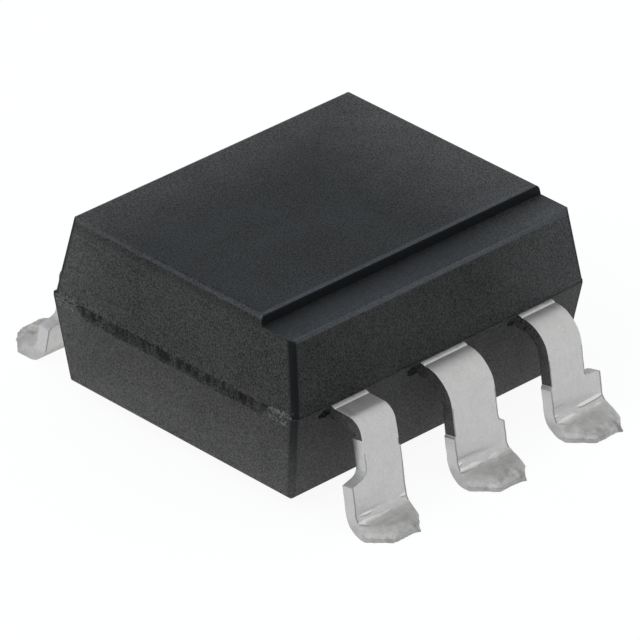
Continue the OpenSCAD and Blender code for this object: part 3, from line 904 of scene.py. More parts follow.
def break_cutter(look):
    """What broke out of the end wall with the gate, in ragged teeth."""
    parting, base = look.parting_z / MM, look.scar_base / MM
    half, teeth = look.scar_length / MM / 2, look.scar_teeth / MM
    depth, rough = look.scar_depth / MM, look.scar_rough / MM
    end = half + BREAK_RUN_OUT

    def surface(along, rise):
        y = end * (2 * along - 1)
        core = eased(abs(y), end, half - BREAK_FADE)
        small, large = grainy(0, y, 0, TOOTH, look.seed), grainy(0, y, 0, LARGE_TOOTH, look.seed + 1)
        tooth = MEAN_TOOTH + SMALL_TEETH * small + LARGE_TEETH * large
        low = base + RIM_WANDER * grainy(0, y, 0, RIM_WAVE, look.seed + 3)
        top = parting + BREAK_CLEAR + teeth * max(0.0, min(TALLEST_TOOTH, tooth))
        z = low + (top - low) * rise
        bowl = 4 * rise * (1 - rise)
        tear = MEAN_TEAR + TEAR_SPREAD * grainy(0, y, TEAR_UPRIGHT * z, TEAR, look.seed + 5)
        torn = max(SHALLOWEST_TEAR, tear)
        inward = bowl * (depth * torn + rough * grainy(0, y, z, CRUMB, look.seed + 2)) - BREAK_CLEAR
        wall = end_wall(look, low) * (1 - rise) + end_wall(look, top) * rise
        return core * (wall + inward) + (1 - core) * (BODY_LOW.x - BREAK_OUTSIDE), y, z

    return ragged_slab(round(2 * end / BREAK_CELL), BREAK_ROWS, surface, BODY_LOW.x - BREAK_BACK)


# Flash in millimetres: from inside the break's end to short of the corner, from above the scar's rim
# to above the parting line, how high its grains stand, how deep it lies and where it runs under
FLASH_START, FLASH_END, FLASH_LOW, FLASH_HIGH = 0.2, 0.11, 0.02, 0.12
FLASH_GRAIN, FLASH_HEIGHT, FLASH_SUNK, FLASH_DIP = 0.06, 0.085, 0.012, 0.1
FLASH_COLUMNS, FLASH_ROWS, FLASH_BACK = 34, 14, 0.25
# Shares of the patch's length and height over which the grains rise and the patch runs under, how
# thickly they lie, and their own seed
FLASH_NEAR, FLASH_FAR, FLASH_FOOT, FLASH_TOP = (0.0, 0.4), (1.0, 0.85), (0.0, 0.3), (1.0, 0.7)
FLASH_UNDER, FLASH_COVER, FLASH_SEED = (0.45, 0.0), 0.1, 20


def flash_lumps(look, side):
    """Grains of flash beside one end of the break."""
    start, end = look.scar_length / MM / 2 - FLASH_START, BODY_HIGH.y - FLASH_END
    low, high = look.scar_base / MM + FLASH_LOW, look.parting_z / MM + FLASH_HIGH

    def surface(along, rise):
        y, z = side * (start + (end - start) * along), low + (high - low) * rise
        window = eased(along, *FLASH_NEAR) * eased(along, *FLASH_FAR)
        window = window * eased(rise, *FLASH_FOOT) * eased(rise, *FLASH_TOP)
        lump = FLASH_COVER + grainy(0, y, z, FLASH_GRAIN, look.seed + FLASH_SEED + side)
        lump = max(0.0, lump) * window
        sunk = FLASH_SUNK + FLASH_DIP * eased(along, *FLASH_UNDER)
        return end_wall(look, z) + sunk - FLASH_HEIGHT * lump, y, z

    return ragged_slab(FLASH_COLUMNS, FLASH_ROWS, surface, BODY_LOW.x + FLASH_BACK)


# The CAD recess of the gate lies this deep and this far below the parting line. A hair is added
# around it, and its filled wall stays under the lip
RECESS_DEEP, RECESS_TALL, HAIR, UNDER_LIP = 0.12, 0.3, 0.001, 0.00001


def without_gate(look):
    """The body's mesh with the gate's plain recess filled, ready for the ragged break."""
    mesh = node_mesh("outer_body")
    half, parting = look.scar_length / MM / 2 + HAIR, look.parting_z / MM
    for vert in mesh.verts:
        x, y, z = vert.co
        in_height = parting - RECESS_TALL < z < parting + HAIR
        if x < BODY_LOW.x + RECESS_DEEP and abs(y) < half and in_height:
            vert.co.x = end_wall(look, min(z, parting - UNDER_LIP))
    bmesh.ops.remove_doubles(mesh, verts=mesh.verts, dist=MERGE)
    bmesh.ops.dissolve_degenerate(mesh, edges=mesh.edges, dist=MERGE)
    bmesh.ops.dissolve_limit(mesh, angle_limit=FLAT_ANGLE, verts=mesh.verts, edges=mesh.edges)
    return mesh


# Pits: longer along the wall than deep, uneven, beside the lead's edge, a little inside the wall
# and below the lead's top, and of sizes that change from lead to lead
PIT_LONG, PIT_DEEP, PIT_UNEVEN, PIT_LUMP = 1.4, 0.8, 0.35, 0.9
PIT_GAP, PIT_INSIDE, PIT_DROP = 0.15, 0.015, 0.12
PIT_SPREAD, PIT_CHANGE = 0.25, 2.3


def add_pit(mesh, centre, radius, seed):
    """Adds one uneven pit to a cutter."""
    made = bmesh.ops.create_icosphere(mesh, subdivisions=3, radius=radius)
    for vert in made["verts"]:
        uneven = 1.0 + PIT_UNEVEN * grainy(*vert.co, radius * PIT_LUMP, seed)
        x, y, z = vert.co
        vert.co = Vector(centre) + Vector((x * PIT_LONG, y * PIT_DEEP, z * PIT_DEEP)) * uneven


def pit_cutter(look, leads):
    """The pits where the moulding pulled away beside each lead."""
    mesh = bmesh.new()
    for number, lead in enumerate(LEADS):
        edges = lead_edges(leads, lead)
        side = 1 if lead.far else -1
        left = (min(edges["straight"], edges["neck"]) - PIT_GAP) * -side
        centre = (left, side * (BODY_HIGH.y - PIT_INSIDE), LEAD_TOP - PIT_DROP)
        radius = look.pit_radius / MM * (1.0 + PIT_SPREAD * math.sin(PIT_CHANGE * number))
        add_pit(mesh, centre, radius, look.seed + number)
    return mesh


def cut(target, tool, operation):
    """Joins or cuts with a tool, which goes."""
    modifier = target.modifiers.new(operation, "BOOLEAN")
    modifier.operation = operation
    modifier.object = tool
    modifier.solver = "EXACT"
    modifier.material_mode = "TRANSFER"
    name = target.name
    data = settled(target)
    old = tool.data
    bpy.data.objects.remove(tool)
    bpy.data.meshes.remove(old)
    return loose_object(name, data)


class OPTO_OT_moulding(bpy.types.Operator):
    """Makes the black moulding with its broken gate, flash and pits"""

    bl_idname = "opto.moulding"
    bl_label = "Black moulding"

    def execute(self, context):
        look = context.scene.opto_moulding
        skin, rough, dull = black_moulding(look), broken_moulding(look), flash_moulding(look)
        body = loose_object("body", without_gate(look))
        body.data.materials.append(skin)
        body.data.polygons.foreach_set("material_index", [0] * len(body.data.polygons))
        for tool in (break_cutter(look), pit_cutter(look, context.scene.opto_leads)):
            cutter = loose_object("cutter", tool)
            cutter.data.materials.append(rough)
            body = cut(body, cutter, "DIFFERENCE")
        for side in (-1, 1):
            flash = loose_object("flash", flash_lumps(look, side))
            flash.data.materials.append(dull)
            body = cut(body, flash, "UNION")
        mesh = body.data
        bpy.data.objects.remove(body)
        smooth_shaded(mesh, sharp_degrees=50)
        piece = finished_piece("moulded_body", mesh, "outer_body")
        weighted = piece.modifiers.new("weighted_normals", "WEIGHTED_NORMAL")
        weighted.keep_sharp = True
        return {"FINISHED"}


# Formed leads

def lead_edges(look, lead):
    """Edges of a lead along X, turned to the near row, in millimetres."""
    side = -1 if lead.row_place < 0 else 1
    step = (look.end_step if lead.row_place else look.mid_step) / MM
    centre = lead.row_place * look.pitch / MM
    straight = centre - side * (look.end_edge if lead.row_place else look.mid_edge) / MM
    wide = straight + side * look.width / MM
    toe = (straight + wide) / 2 + lead.shift
    stub = straight - side * look.stub / MM
    return {"straight": straight, "stub": stub, "neck": wide - side * step, "wide": wide, "toe": toe}


def lead_path(look, lead):
    """Corners of the strip's middle line on the near side: start, two bends and toe."""
    strip = look.strip / MM
    middle = lead.bend + strip / 2
    high, low = LEAD_TOP - strip / 2, strip / 2
    slope = math.tan(look.lean)
    touch_y = BODY_LOW.y - lead.flat - middle * math.cos(look.lean)
    touch_z = high - middle + middle * math.sin(look.lean)
    return [
        (0, -look.joint / MM, high),
        (0, touch_y + (high - touch_z) * slope, high),
        (0, touch_y - (touch_z - low) * slope, low + look.heel / MM),
        (0, lead.short - TOE_REACH, low),
    ]


LEAD_POINTS = ("Start", "First Corner", "Second Corner", "Toe Point")
LEAD_NUMBERS = (
    "First Bend", "Second Bend", "Clamp End", "Clamp Mark", "Burr", "Straight", "Stub", "Film", "Aside",
    "Neck", "Wide", "Toe Centre", "Shoulder", "Fillet", "Half Toe", "Wander", "Dents", "Seed",
)
BEND_STEPS = 24
# Shape of the shoulder's fillet: share of the way down, and share of the step's width there
FILLET_SHAPE = ((0.5, 0.13), (0.8, 0.42), (0.95, 0.85))
# In millimetres: height over which the cut tie bar stands out, rounding of the trimmed toe, and how
# soft the end of the clamp's mark is
STUB_RISE, TOE_ROUND, CLAMP_SOFT = 0.03, 0.03, 0.04
# Shares of the strip's length: free of the body, worked by the forming tool, sheared toe and its burr
FREE, WORKED, TOE_END, BURR_END = (0.22, 0.4), (0.5, 0.72), (0.95, 1.0), (0.97, 1.0)
BURR_SIDE = (0.85, 1.0)
# Waves a millimetre of the sheared edges, of the dents across and along, and over the toe
EDGE_WAVES, DENT_ACROSS, DENT_ALONG, TOE_WAVES = 3.5, 1.4, 6.5, 7.0
# How many times more the toe wanders than the edges, what the dents keep where the strip wasn't worked,
# and from the lowest to the highest dent against their depth
TOE_WANDER, UNWORKED, DENT_SPAN = 3.0, 0.12, 2.0
LOW_EDGE_SALT, HIGH_EDGE_SALT = 11.0, 23.0


def bent_path(tree, ask):
    """Middle line of the strip: four corners, with the two bends rounded."""
    index = place(tree, "GeometryNodeInputIndex").outputs[0]
    corners = place(tree, "GeometryNodeIndexSwitch", data_type="VECTOR")
    while len(corners.index_switch_items) < len(LEAD_POINTS):
        corners.index_switch_items.new()
    feed(tree, corners.inputs["Index"], index)
    for k, label in enumerate(LEAD_POINTS):
        feed(tree, corners.inputs[k + 1], ask[label])
    line = place(tree, "GeometryNodeCurvePrimitiveLine", {"Start": (0, 0, 0), "End": (0, 1, 0)})
    points = place(
        tree, "GeometryNodeResampleCurve", {"Curve": line.outputs[0], "Count": len(LEAD_POINTS)}
    )
    bent = place(
        tree, "GeometryNodeSetPosition", {"Geometry": points.outputs[0], "Position": corners.outputs[0]}
    )
    is_second = maths(tree, "GREATER_THAN", index, 1.5)
    radius = between(tree, is_second, ask["First Bend"], ask["Second Bend"])
    return place(
        tree, "GeometryNodeFilletCurve",
        {"Curve": bent.outputs[0], "Count": BEND_STEPS, "Radius": radius}, mode="POLY",
    ).outputs[0]


def strip_outline(tree, ask, y, z):
    """Both edges of the strip along X: straight edge, neck, shoulder and trimmed toe."""
    shoulder_top = maths(tree, "ADD", ask["Shoulder"], ask["Fillet"])
    curve = place(tree, "ShaderNodeFloatCurve", {"Value": ranged(tree, z, shoulder_top, ask["Shoulder"])})
    for fallen, widened in FILLET_SHAPE:
        curve.mapping.curves[0].points.new(fallen, widened)
    curve.mapping.update()
    stepped = between(tree, curve.outputs[0], ask["Neck"], ask["Wide"])
    film_low = maths(tree, "SUBTRACT", ask["Film"], STUB_RISE)
    straight = between(tree, ranged(tree, z, ask["Film"], film_low), ask["Straight"], ask["Stub"])
    toe_y = split(tree, ask["Toe Point"])["Y"]
    limit = maths(tree, "ADD", maths(tree, "SUBTRACT", y, toe_y), ask["Half Toe"])
    low, high = maths(tree, "MINIMUM", straight, stepped), maths(tree, "MAXIMUM", straight, stepped)
    low_toe = maths(tree, "SUBTRACT", ask["Toe Centre"], limit)
    high_toe = maths(tree, "ADD", ask["Toe Centre"], limit)
    low = maths(tree, "SMOOTH_MAX", low, low_toe, TOE_ROUND)
    return low, maths(tree, "SMOOTH_MIN", high, high_toe, TOE_ROUND)


def sheared(tree, ask, edge, reach, free, salt):
    """An edge that wanders along the strip, but not where it leaves the body."""
    beside = joined(tree, x=times(tree, reach, EDGE_WAVES), y=salt)
    sway = maths(tree, "SUBTRACT", cloud(tree, beside, 1.0, detail=1.0, seed=ask["Seed"]), 0.5)
    return maths(tree, "ADD", edge, times(tree, times(tree, sway, ask["Wander"]), free))


def pressed_in(tree, ask, x, y, along, reach, free):
    """How deep the face is pressed: forming dents, strongest toward the toe, and the clamp's mark."""
    where = joined(tree, x=times(tree, x, DENT_ACROSS), y=times(tree, reach, DENT_ALONG))
    dent = cloud(tree, where, 1.0, detail=3.0, roughness=0.55, seed=ask["Seed"])
    worked = ranged(tree, along, *WORKED, UNWORKED, 1.0, smooth=True)
    dent = times(tree, maths(tree, "SUBTRACT", dent, 0.5), worked)
    dent = times(tree, times(tree, dent, times(tree, ask["Dents"], DENT_SPAN)), free)
    clamp_full = maths(tree, "SUBTRACT", ask["Clamp End"], CLAMP_SOFT)
    clamped = ranged(tree, y, ask["Clamp End"], clamp_full, smooth=True)
    return maths(tree, "ADD", dent, times(tree, clamped, ask["Clamp Mark"]))


def lead_tree():
    """Sheet of one formed lead: a grid laid along the bent path and cut to the lead's outline."""
    inputs = [("Geometry", "NodeSocketGeometry", None)]
    inputs += [(label, "NodeSocketVector", None) for label in LEAD_POINTS]
    inputs += [(label, "NodeSocketFloat", None) for label in LEAD_NUMBERS]
    inputs += [("Rows", "NodeSocketInt", 90), ("Columns", "NodeSocketInt", 32)]
    inputs += [("Material", "NodeSocketMaterial", None)]
    tree, ask, result = new_group(
        "formed_lead", "GeometryNodeTree", inputs, [("Geometry", "NodeSocketGeometry")]
    )
    path = bent_path(tree, ask)
    run = place(tree, "GeometryNodeCurveLength", {"Curve": path}).outputs[0]
    grid = place(
        tree, "GeometryNodeMeshGrid",
        {"Size X": 1.0, "Size Y": 1.0, "Vertices X": ask["Rows"], "Vertices Y": ask["Columns"]},
    )
    flat = split(tree, place(tree, "GeometryNodeInputPosition").outputs[0])
    along, across = maths(tree, "ADD", flat["X"], 0.5), maths(tree, "ADD", flat["Y"], 0.5)

    # The toe is sheared a little unevenly
    over_toe = joined(tree, x=times(tree, across, TOE_WAVES))
    ragged = cloud(tree, over_toe, 1.0, detail=3.0, roughness=0.6, seed=ask["Seed"])
    ragged = times(tree, times(tree, ragged, ask["Wander"]), TOE_WANDER)
    short = times(tree, ragged, ranged(tree, along, *TOE_END, smooth=True))
    reach = maths(tree, "SUBTRACT", times(tree, along, run), short)
    spot = place(tree, "GeometryNodeSampleCurve", {"Curves": path, "Length": reach}, mode="LENGTH")
    on_path, heading = split(tree, spot.outputs["Position"]), split(tree, spot.outputs["Tangent"])
    y, z = on_path["Y"], on_path["Z"]

    # Each row of the grid reaches from edge to edge
    free = ranged(tree, along, *FREE, smooth=True)
    low, high = strip_outline(tree, ask, y, z)
    low = sheared(tree, ask, low, reach, free, LOW_EDGE_SALT)
    high = sheared(tree, ask, high, reach, free, HIGH_EDGE_SALT)
    x = maths(tree, "ADD", between(tree, across, low, high), times(tree, ask["Aside"], free))

    # Dents go in across the strip, and the burr stands up on one corner of the toe
    dent = times(tree, pressed_in(tree, ask, x, y, along, reach, free), -1.0)
    tip = ranged(tree, along, *BURR_END, smooth=True)
    corner = times(tree, tip, ranged(tree, across, *BURR_SIDE, smooth=True))
    out_y = times(tree, heading["Z"], dent)
    out_z = times(tree, times(tree, heading["Y"], -1.0), dent)
    out_z = maths(tree, "ADD", out_z, times(tree, corner, ask["Burr"]))
    here = joined(tree, x=x, y=maths(tree, "ADD", y, out_y), z=maths(tree, "ADD", z, out_z))
    sheet = place(tree, "GeometryNodeSetPosition", {"Geometry": grid.outputs[0], "Position": here})
    smooth = place(tree, "GeometryNodeSetShadeSmooth", {"Geometry": sheet.outputs[0]})
    real = place(tree, "GeometryNodeRealizeInstances", {"Geometry": smooth.outputs[0]})
    finish = place(
        tree, "GeometryNodeSetMaterial", {"Geometry": real.outputs[0], "Material": ask["Material"]}
    )
    feed(tree, result.inputs[0], finish.outputs[0])
    return tree


# Width of the rolled edge, and the share of the distance that counts from the toe's slanted sides
ROLL_WIDE, ROLL_SIDES = 0.25, 0.7
# Slots of a lead's finishes
PLATED, SHEARED, TORN, FILM_AND_REFLECTION, SHADED_EDGE = range(5)
# In millimetres: the toe's zone, the heights of shoulders and of the film on a shouldered side, and
# of the riser's corners that get painted shade
TOE_ZONE, FOOT_TOP, SHOULDERS, SIDE_FILM, RISER = 0.5, 0.34, (0.5, 1.5), 1.7, (0.3, 1.5)
# Facing's X of faces, of sides with a film, and of what counts as a side beside the corners with painted
# shade
FACE_LEAN, FILM_LEAN, SIDE_LEAN = 0.45, 0.975, 0.2
# Facing's Z of shoulders and of the toe's torn ends
SHOULDER_LEAN, TORN_LEAN = 0.4, 0.5


def rolled_toe(mesh, look, lead, toe_y):
    """Rolls the toe's upper edge down toward the sheared outline and rests the foot on the floor."""
    strip, half = look.strip / MM, look.toe / MM / 2
    middle = lead_edges(look, lead)["toe"] + lead.aside
    for vert in mesh.vertices:
        x, y, z = vert.co
        if z > 2 * strip:
            continue
        out = y - toe_y
        inside = min(out, ROLL_SIDES * (out + half - abs(x - middle)))
        if inside < ROLL_WIDE:
            edge = 1 - max(0.0, inside) / ROLL_WIDE
            z -= lead.rolled * max(0.0, min(1.0, z / strip)) * edge * edge
        vert.co.z = max(0.0, z)
    mesh.update()


def strip_finish(polygon, lead, toe_y):
    """Slot of a strip's face: plated face, sheared side, torn end, or side with a film of resin that also
    paints the body's dark reflection.
    """
    normal, centre = polygon.normal, polygon.center
    at_toe = centre.y < toe_y + TOE_ZONE and centre.z < FOOT_TOP
    on_shoulder = SHOULDERS[0] < centre.z < SHOULDERS[1] and abs(normal.z) > SHOULDER_LEAN
    if at_toe and abs(normal.z) < TORN_LEAN or on_shoulder:
        return TORN
    if abs(normal.x) < FACE_LEAN:
        return PLATED
    on_straight = (normal.x < 0) == (lead.row_place >= 0)
    film = lead.film if on_straight else SIDE_FILM
    return FILM_AND_REFLECTION if centre.z > film and abs(normal.x) > FILM_LEAN else SHEARED


def shaded_riser_edges(mesh, kinds):
    """Finds the plated faces beside the riser's sheared corners, which get painted shade."""
    sides = {
        corner for polygon in mesh.polygons if abs(polygon.normal.x) > SIDE_LEAN
        for corner in polygon.vertices
    }
    for polygon in mesh.polygons:
        on_riser = RISER[0] < polygon.center.z < RISER[1]
        if kinds[polygon.index] == PLATED and on_riser and not sides.isdisjoint(polygon.vertices):
            kinds[polygon.index] = SHADED_EDGE


# The clamp's mark starts this far from the body
CLAMP_GAP = 0.015
SHARP_EDGE = math.radians(55)


def formed_strip(look, tree, lead, seed, face):
    """The formed part of one lead outside the body, on the near side."""
    holder = loose_object("strip", bpy.data.meshes.new("strip"))
    modifier = holder.modifiers.new("formed_lead", "NODES")
    modifier.node_group = tree
    start, first, second, toe = lead_path(look, lead)
    edges = lead_edges(look, lead)
    run = math.dist(start, first) + math.dist(first, second) + math.dist(second, toe)
    cell = look.cell / MM
    set_inputs(
        modifier, Start=start, First_Corner=first, Second_Corner=second, Toe_Point=toe,
        First_Bend=lead.bend + look.strip / MM / 2, Second_Bend=(look.foot_bend + look.strip / 2) / MM,
        Clamp_End=BODY_LOW.y - CLAMP_GAP, Clamp_Mark=look.clamp_mark / MM, Burr=look.burr / MM,
        Rows=round(run / cell), Columns=round(look.width / MM / cell),
        Straight=edges["straight"], Stub=edges["stub"], Neck=edges["neck"], Wide=edges["wide"],
        Film=lead.film, Aside=lead.aside, Shoulder=lead.shoulder, Fillet=lead.fillet,
        Toe_Centre=edges["toe"], Half_Toe=look.toe / MM / 2, Wander=look.wander / MM,
        Dents=look.dents / MM, Seed=float(seed), Material=face,
    )
    thick = holder.modifiers.new("strip", "SOLIDIFY")
    thick.thickness = look.strip / MM
    thick.offset = 0.0
    thick.use_even_offset = True
    rounding = holder.modifiers.new("rounding", "BEVEL")
    rounding.width = look.edge_round / MM
    rounding.segments = 3
    rounding.limit_method = "ANGLE"
    rounding.angle_limit = SHARP_EDGE
    made = settled(holder)
    rolled_toe(made, look, lead, toe[1])
    kinds = [strip_finish(polygon, lead, toe[1]) for polygon in made.polygons]
    shaded_riser_edges(made, kinds)
    made.polygons.foreach_set("material_index", kinds)
    return made


def inner_strip(node, look, far):
    """The part of a CAD lead inside the body, closed where the formed strip starts."""
    mesh = node_mesh(node)
    side = 1 if far else -1
    cut_off = bmesh.ops.bisect_plane(
        mesh, geom=mesh.verts[:] + mesh.edges[:] + mesh.faces[:],
        plane_co=(0, side * look.joint / MM, 0), plane_no=(0, side, 0), clear_outer=True,
    )
    rim = [item for item in cut_off["geom_cut"] if isinstance(item, bmesh.types.BMEdge)]
    bmesh.ops.edgenet_fill(mesh, edges=rim)
    bmesh.ops.recalc_face_normals(mesh, faces=mesh.faces)
    return mesh


# Each lead's noise starts this much further on than the one before
SEED_STEP = 1.7


class OPTO_OT_leads(bpy.types.Operator):
    """Makes the six formed and plated leads"""

    bl_idname = "opto.leads"
    bl_label = "Formed leads"

    def execute(self, context):
        look = context.scene.opto_leads
        face = tin_plate("tin_plate_face", look, rough=(0.38, 0.47), depth=0.002, stain_and_shade=0.3, highlit=True)
        edge = tin_plate("tin_plate_edge", look, rough=(0.3, 0.4), depth=0.001, stain_and_shade=0.2)
        torn = tin_plate("tin_plate_torn", look, rough=(0.55, 0.7), depth=0.008, stain_and_shade=0.3, metal=0.5)
        film = resin_film_and_reflection(context.scene.opto_moulding)
        # Painted shade along the riser's sheared corners
        corner = tin_plate("tin_plate_corner", look, rough=(0.5, 0.6), depth=0.002, stain_and_shade=0.3, painted=0.75)
        finishes = {PLATED: face, SHEARED: edge, TORN: torn, FILM_AND_REFLECTION: film, SHADED_EDGE: corner}
        tree = lead_tree()
        for number, lead in enumerate(LEADS):
            strip = formed_strip(look, tree, lead, SEED_STEP * number, face)
            if lead.far:
                strip.transform(Matrix.Rotation(math.pi, 4, "Z"))
            mesh = inner_strip(lead.node, look, lead.far)
            inner_faces = len(mesh.faces)
            mesh.from_mesh(strip)
            bpy.data.meshes.remove(strip)
            mesh.faces.ensure_lookup_table()
            for inner in mesh.faces[:inner_faces]:
                inner.material_index = PLATED
                inner.smooth = False
            data = bpy.data.meshes.new(lead.node)
            mesh.to_mesh(data)
            mesh.free()
            without_kept_normals(data)
            for slot in sorted(finishes):
                data.materials.append(finishes[slot])
            finished_piece("formed_" + lead.node, data, lead.node)
        return {"FINISHED"}


# Pieces sealed inside the body

# Chips in millimetres: width of the guard ring, its distance from the chip's edge, half the bond
# pads' size, and how far the detector's pads lie in from its edges and further in along Y
RING_WIDE, LED_RING_INSET, RING_INSET = 0.02, 0.02, 0.03
LED_PAD, DETECTOR_PAD = 0.05, 0.06
PAD_INSET, PAD_BACK = 0.16, 0.09
# Strength of the dull patches' colour on the chips, attach layers and wires, and how metallic the
# attach layers are outside and inside those patches
CHIP_DULL, ATTACH_DULL, WIRE_DULL, ATTACH_METAL = 0.7, 0.6, 0.75, (0.75, 0.35)
# Silicone drop: colour and index of refraction
SILICONE, SILICONE_IOR = (0.93, 0.95, 0.95, 1.0), 1.41


def square_mask(tree, centre, half):
    """1 inside an upright square column about a point, in millimetres."""
    from_centre = vector_maths(tree, "SUBTRACT", millimetres(tree), (*centre, 0))
    offset = split(tree, vector_maths(tree, "ABSOLUTE", from_centre))
    return maths(tree, "LESS_THAN", maths(tree, "MAXIMUM", offset["X"], offset["Y"]), half)


def chip_finish(name, body_colour, metal, pads, frame_half):
    """Polished chip with metal pads and a guard ring on its face."""
    material, tree, shader = new_material(name)
    marks = grouped(tree, plating_marks(), Crystal_Size=0.02, Patch_Size=0.2)
    outer, hole = (square_mask(tree, (0, 0), half) for half in (frame_half, frame_half - RING_WIDE))
    metal_mask = maths(tree, "SUBTRACT", outer, hole)
    for centre, half in pads:
        metal_mask = maths(tree, "MAXIMUM", metal_mask, square_mask(tree, centre, half))
    tone = blended(tree, marks["Patch"], solid(body_colour), solid(body_colour, CHIP_DULL))
    tone = blended(tree, metal_mask, tone, solid(metal))
    surfaced(tree, shader, tone, marks["Mark"], marks["Height"], rough=(0.12, 0.28), depth=0.0008)
    feed(tree, shader.inputs["Metallic"], metal_mask)
    return material


class OPTO_OT_light_guide(bpy.types.Operator):
    """Finishes the pale inner moulding and the silicone drop"""

    bl_idname = "opto.light_guide"
    bl_label = "Light guide"

    def execute(self, context):
        pale = context.scene.opto_inner.guide
        dress_node("inner_mould", pale_moulding(context.scene.opto_moulding, pale))
        clear, tree, shader = new_material("clear_drop")
        shader.inputs["Transmission Weight"].default_value = 1.0
        shader.inputs["IOR"].default_value = SILICONE_IOR
        grain = grouped(tree, moulding_grain(), Grain_Size=0.12, Mottle_Size=0.3)
        surfaced(tree, shader, SILICONE, grain["Tone"], grain["Height"], rough=(0.05, 0.12), depth=0.001)
        dress_node("led_coating", clear)
        return {"FINISHED"}


class OPTO_OT_chips(bpy.types.Operator):
    """Finishes both chips and their attach layers"""

    bl_idname = "opto.chips"
    bl_label = "Chips"

    def execute(self, context):
        look = context.scene.opto_inner
        led_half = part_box("led_chip")[1].x / MM
        chip_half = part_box("detector_chip")[1].x / MM
        pad = chip_half - PAD_INSET
        pads = [((side * pad, pad - PAD_BACK), DETECTOR_PAD) for side in (1, -1)]
        emitter = chip_finish(
            "emitter_chip", look.emitter, look.metal, [((0, 0), LED_PAD)], led_half - LED_RING_INSET
        )
        dress_node("led_chip", emitter)
        detector = chip_finish("detector_chip", look.silicon, look.metal, pads, chip_half - RING_INSET)
        dress_node("detector_chip", detector)
        silver, tree, shader = new_material("silver_attach")
        marks = grouped(tree, plating_marks(), Crystal_Size=0.012, Patch_Size=0.05)
        tone = blended(tree, marks["Patch"], solid(look.attach), solid(look.attach, ATTACH_DULL))
        surfaced(tree, shader, tone, marks["Mark"], marks["Height"], rough=(0.45, 0.7), depth=0.003)
        feed(tree, shader.inputs["Metallic"], ranged(tree, marks["Patch"], 0.0, 1.0, *ATTACH_METAL))
        for node in ("led_attach", "detector_attach"):
            dress_node(node, silver)
        return {"FINISHED"}


class OPTO_OT_wires(bpy.types.Operator):
    """Finishes the three gold bond wires"""

    bl_idname = "opto.wires"
    bl_label = "Bond wires"

    def execute(self, context):
        gold, tree, shader = new_material("gold_wire")
        shader.inputs["Metallic"].default_value = 1.0
        base = context.scene.opto_inner.gold
        marks = grouped(tree, plating_marks(), Crystal_Size=0.01, Patch_Size=0.06)
        tone = blended(tree, marks["Patch"], solid(base), solid(base, WIRE_DULL))
        surfaced(tree, shader, tone, marks["Mark"], marks["Height"], rough=(0.15, 0.3), depth=0.0005)
        for node in ("led_wire", "emitter_wire", "base_wire"):
            dress_node(node, gold)
        return {"FINISHED"}


# Stage

WHITE = (1, 1, 1, 1)
FLOOR_RADIUS, FLOOR_SIDES = 0.6, 96
# Share of the floor that glows, and what is left of the glow where it has faded
GLOW_SHARE, FADED = 0.85, 0.3
# How high the dome's horizon reaches, and the camera's clipping against its distance
HORIZON_TOP = 0.8
NEAR_CLIP, FAR_CLIP = 0.1, 20


def sees_white(tree):
    """1 for the rays that show the white surroundings: to the camera, in metal, through clear pieces."""
    rays = place(tree, "ShaderNodeLightPath").outputs
    mirrored = maths(tree, "MAXIMUM", rays["Is Glossy Ray"], rays["Is Transmission Ray"])
    return maths(tree, "MAXIMUM", rays["Is Camera Ray"], mirrored)


def mixed_shader(tree, factor, first, second):
    """The output of one shader node mixed into another."""
    return place(tree, "ShaderNodeMixShader", {0: factor, 1: first.outputs[0], 2: second.outputs[0]})


def pale_floor(look):
    """A wide pale floor that glows. It shows white, keeps a soft shadow and is clear from below."""
    mesh = bmesh.new()
    bmesh.ops.create_circle(mesh, cap_ends=True, segments=FLOOR_SIDES, radius=FLOOR_RADIUS)
    floor = loose_object("floor", mesh)
    material = bpy.data.materials.new("pale_floor")
    material.use_nodes = True
    tree = material.node_tree
    tree.nodes.clear()
    # The lit floor fades in front of the leads, except where it is seen
    surface = place(tree, "ShaderNodeNewGeometry").outputs
    forward = times(tree, split(tree, surface["Position"])["Y"], -1.0)
    lit = ranged(tree, forward, look.fade_start, look.fade_end, 1.0, FADED, smooth=True)
    lit = maths(tree, "MAXIMUM", lit, sees_white(tree))
    matt = place(tree, "ShaderNodeBsdfDiffuse", {"Color": solid(look.floor)})
    glow = place(tree, "ShaderNodeEmission", {"Color": WHITE, "Strength": times(tree, lit, look.glow)})
    both = mixed_shader(tree, GLOW_SHARE, matt, glow)
    whole = mixed_shader(tree, surface["Backfacing"], both, place(tree, "ShaderNodeBsdfTransparent"))
    end = place(tree, "ShaderNodeOutputMaterial")
    feed(tree, end.inputs["Surface"], whole.outputs[0])
    floor.data.materials.append(material)


def soft_world(look):
    """A soft dome, brighter near the horizon. The camera sees it white."""
    world = bpy.data.worlds.new("soft_dome")
    bpy.context.scene.world = world
    world.use_nodes = True
    tree = world.node_tree
    tree.nodes.clear()
    up = split(tree, place(tree, "ShaderNodeTexCoord").outputs["Generated"])["Z"]
    height = ranged(tree, up, 0.0, HORIZON_TOP, smooth=True)
    shade = blended(tree, height, solid(look.horizon), solid(look.zenith))
    dome = place(tree, "ShaderNodeBackground", {"Color": shade})
    white = place(tree, "ShaderNodeBackground", {"Color": WHITE})
    both = mixed_shader(tree, sees_white(tree), dome, white)
    end = place(tree, "ShaderNodeOutputWorld")
    feed(tree, end.inputs["Surface"], both.outputs[0])


def softbox(name, direction, distance, size, power):
    """A square softbox that looks at the part."""
    lamp = bpy.data.lights.new(name, "AREA")
    lamp.energy = power
    lamp.size = size
    made = bpy.data.objects.new(name, lamp)
    toward = Vector(direction).normalized()
    made.location = toward * distance
    made.rotation_euler = toward.to_track_quat("Z", "Y").to_euler()
    bpy.context.scene.collection.objects.link(made)


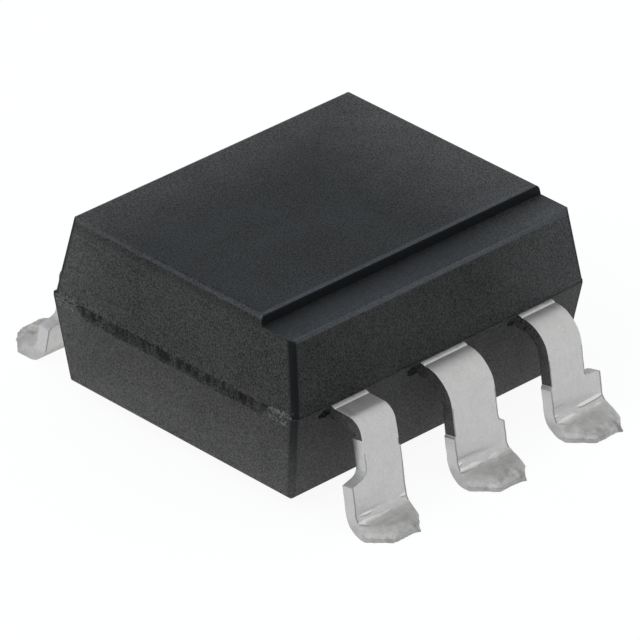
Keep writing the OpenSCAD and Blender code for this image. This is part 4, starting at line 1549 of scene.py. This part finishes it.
def photo_camera(look):
    """The camera at the photograph's angle."""
    turn, height, roll = look.azimuth, look.elevation, look.roll
    back = Vector((
        math.sin(turn) * math.cos(height), -math.cos(turn) * math.cos(height), math.sin(height)
    ))
    level = Vector((math.cos(turn), math.sin(turn), 0))
    above = back.cross(level)
    right = level * math.cos(roll) + above * math.sin(roll)
    up = above * math.cos(roll) - level * math.sin(roll)
    data = bpy.data.cameras.new("photo_camera")
    data.sensor_width = SENSOR_WIDTH
    data.lens = look.scale * (look.distance / MM) * SENSOR_WIDTH / PHOTO_PIXELS
    data.clip_start = look.distance * NEAR_CLIP
    data.clip_end = look.distance * FAR_CLIP
    camera = bpy.data.objects.new("photo_camera", data)
    aim = Vector((0, 0, look.aim_z)) + right * look.aim_right - up * look.aim_down
    place_at = Matrix((right, up, back)).transposed().to_4x4()
    place_at.translation = aim + back * look.distance
    camera.matrix_world = place_at
    bpy.context.scene.collection.objects.link(camera)
    bpy.context.scene.camera = camera


class OPTO_OT_stage(bpy.types.Operator):
    """Makes the floor, the light and the camera"""

    bl_idname = "opto.stage"
    bl_label = "Stage"

    def execute(self, context):
        look = context.scene.opto_stage
        context.scene.view_settings.view_transform = "Standard"
        pale_floor(look)
        soft_world(look)
        softbox("key_softbox", direction=(-0.75, 0.1, 0.7), distance=0.3, size=0.2, power=look.key)
        photo_camera(look)
        return {"FINISHED"}


OPERATORS = [
    OPTO_OT_stage, OPTO_OT_moulding, OPTO_OT_leads, OPTO_OT_light_guide, OPTO_OT_chips, OPTO_OT_wires
]


class OPTO_PT_panel(bpy.types.Panel):
    """Lists the steps that dress the optocoupler"""

    bl_idname = "OPTO_PT_panel"
    bl_label = "Optocoupler"
    bl_space_type = "VIEW_3D"
    bl_region_type = "UI"
    bl_category = "Optocoupler"

    def draw(self, context):
        for step in OPERATORS:
            self.layout.operator(step.bl_idname)
        for attribute, look in LOOKS.items():
            box = self.layout.box()
            box.label(text=look.__doc__)
            for name in look.__annotations__:
                box.prop(getattr(context.scene, attribute), name)


def register():
    for cls in [*LOOKS.values(), *OPERATORS, OPTO_PT_panel]:
        bpy.utils.register_class(cls)
    for attribute, look in LOOKS.items():
        setattr(bpy.types.Scene, attribute, PointerProperty(type=look))


def unregister():
    for attribute in LOOKS:
        delattr(bpy.types.Scene, attribute)
    for cls in reversed([*LOOKS.values(), *OPERATORS, OPTO_PT_panel]):
        bpy.utils.unregister_class(cls)


def main():
    register()
    bpy.ops.opto.stage()
    bpy.ops.opto.moulding()
    bpy.ops.opto.leads()
    bpy.ops.opto.light_guide()
    bpy.ops.opto.chips()
    bpy.ops.opto.wires()


if __name__ == "__main__":
    main()
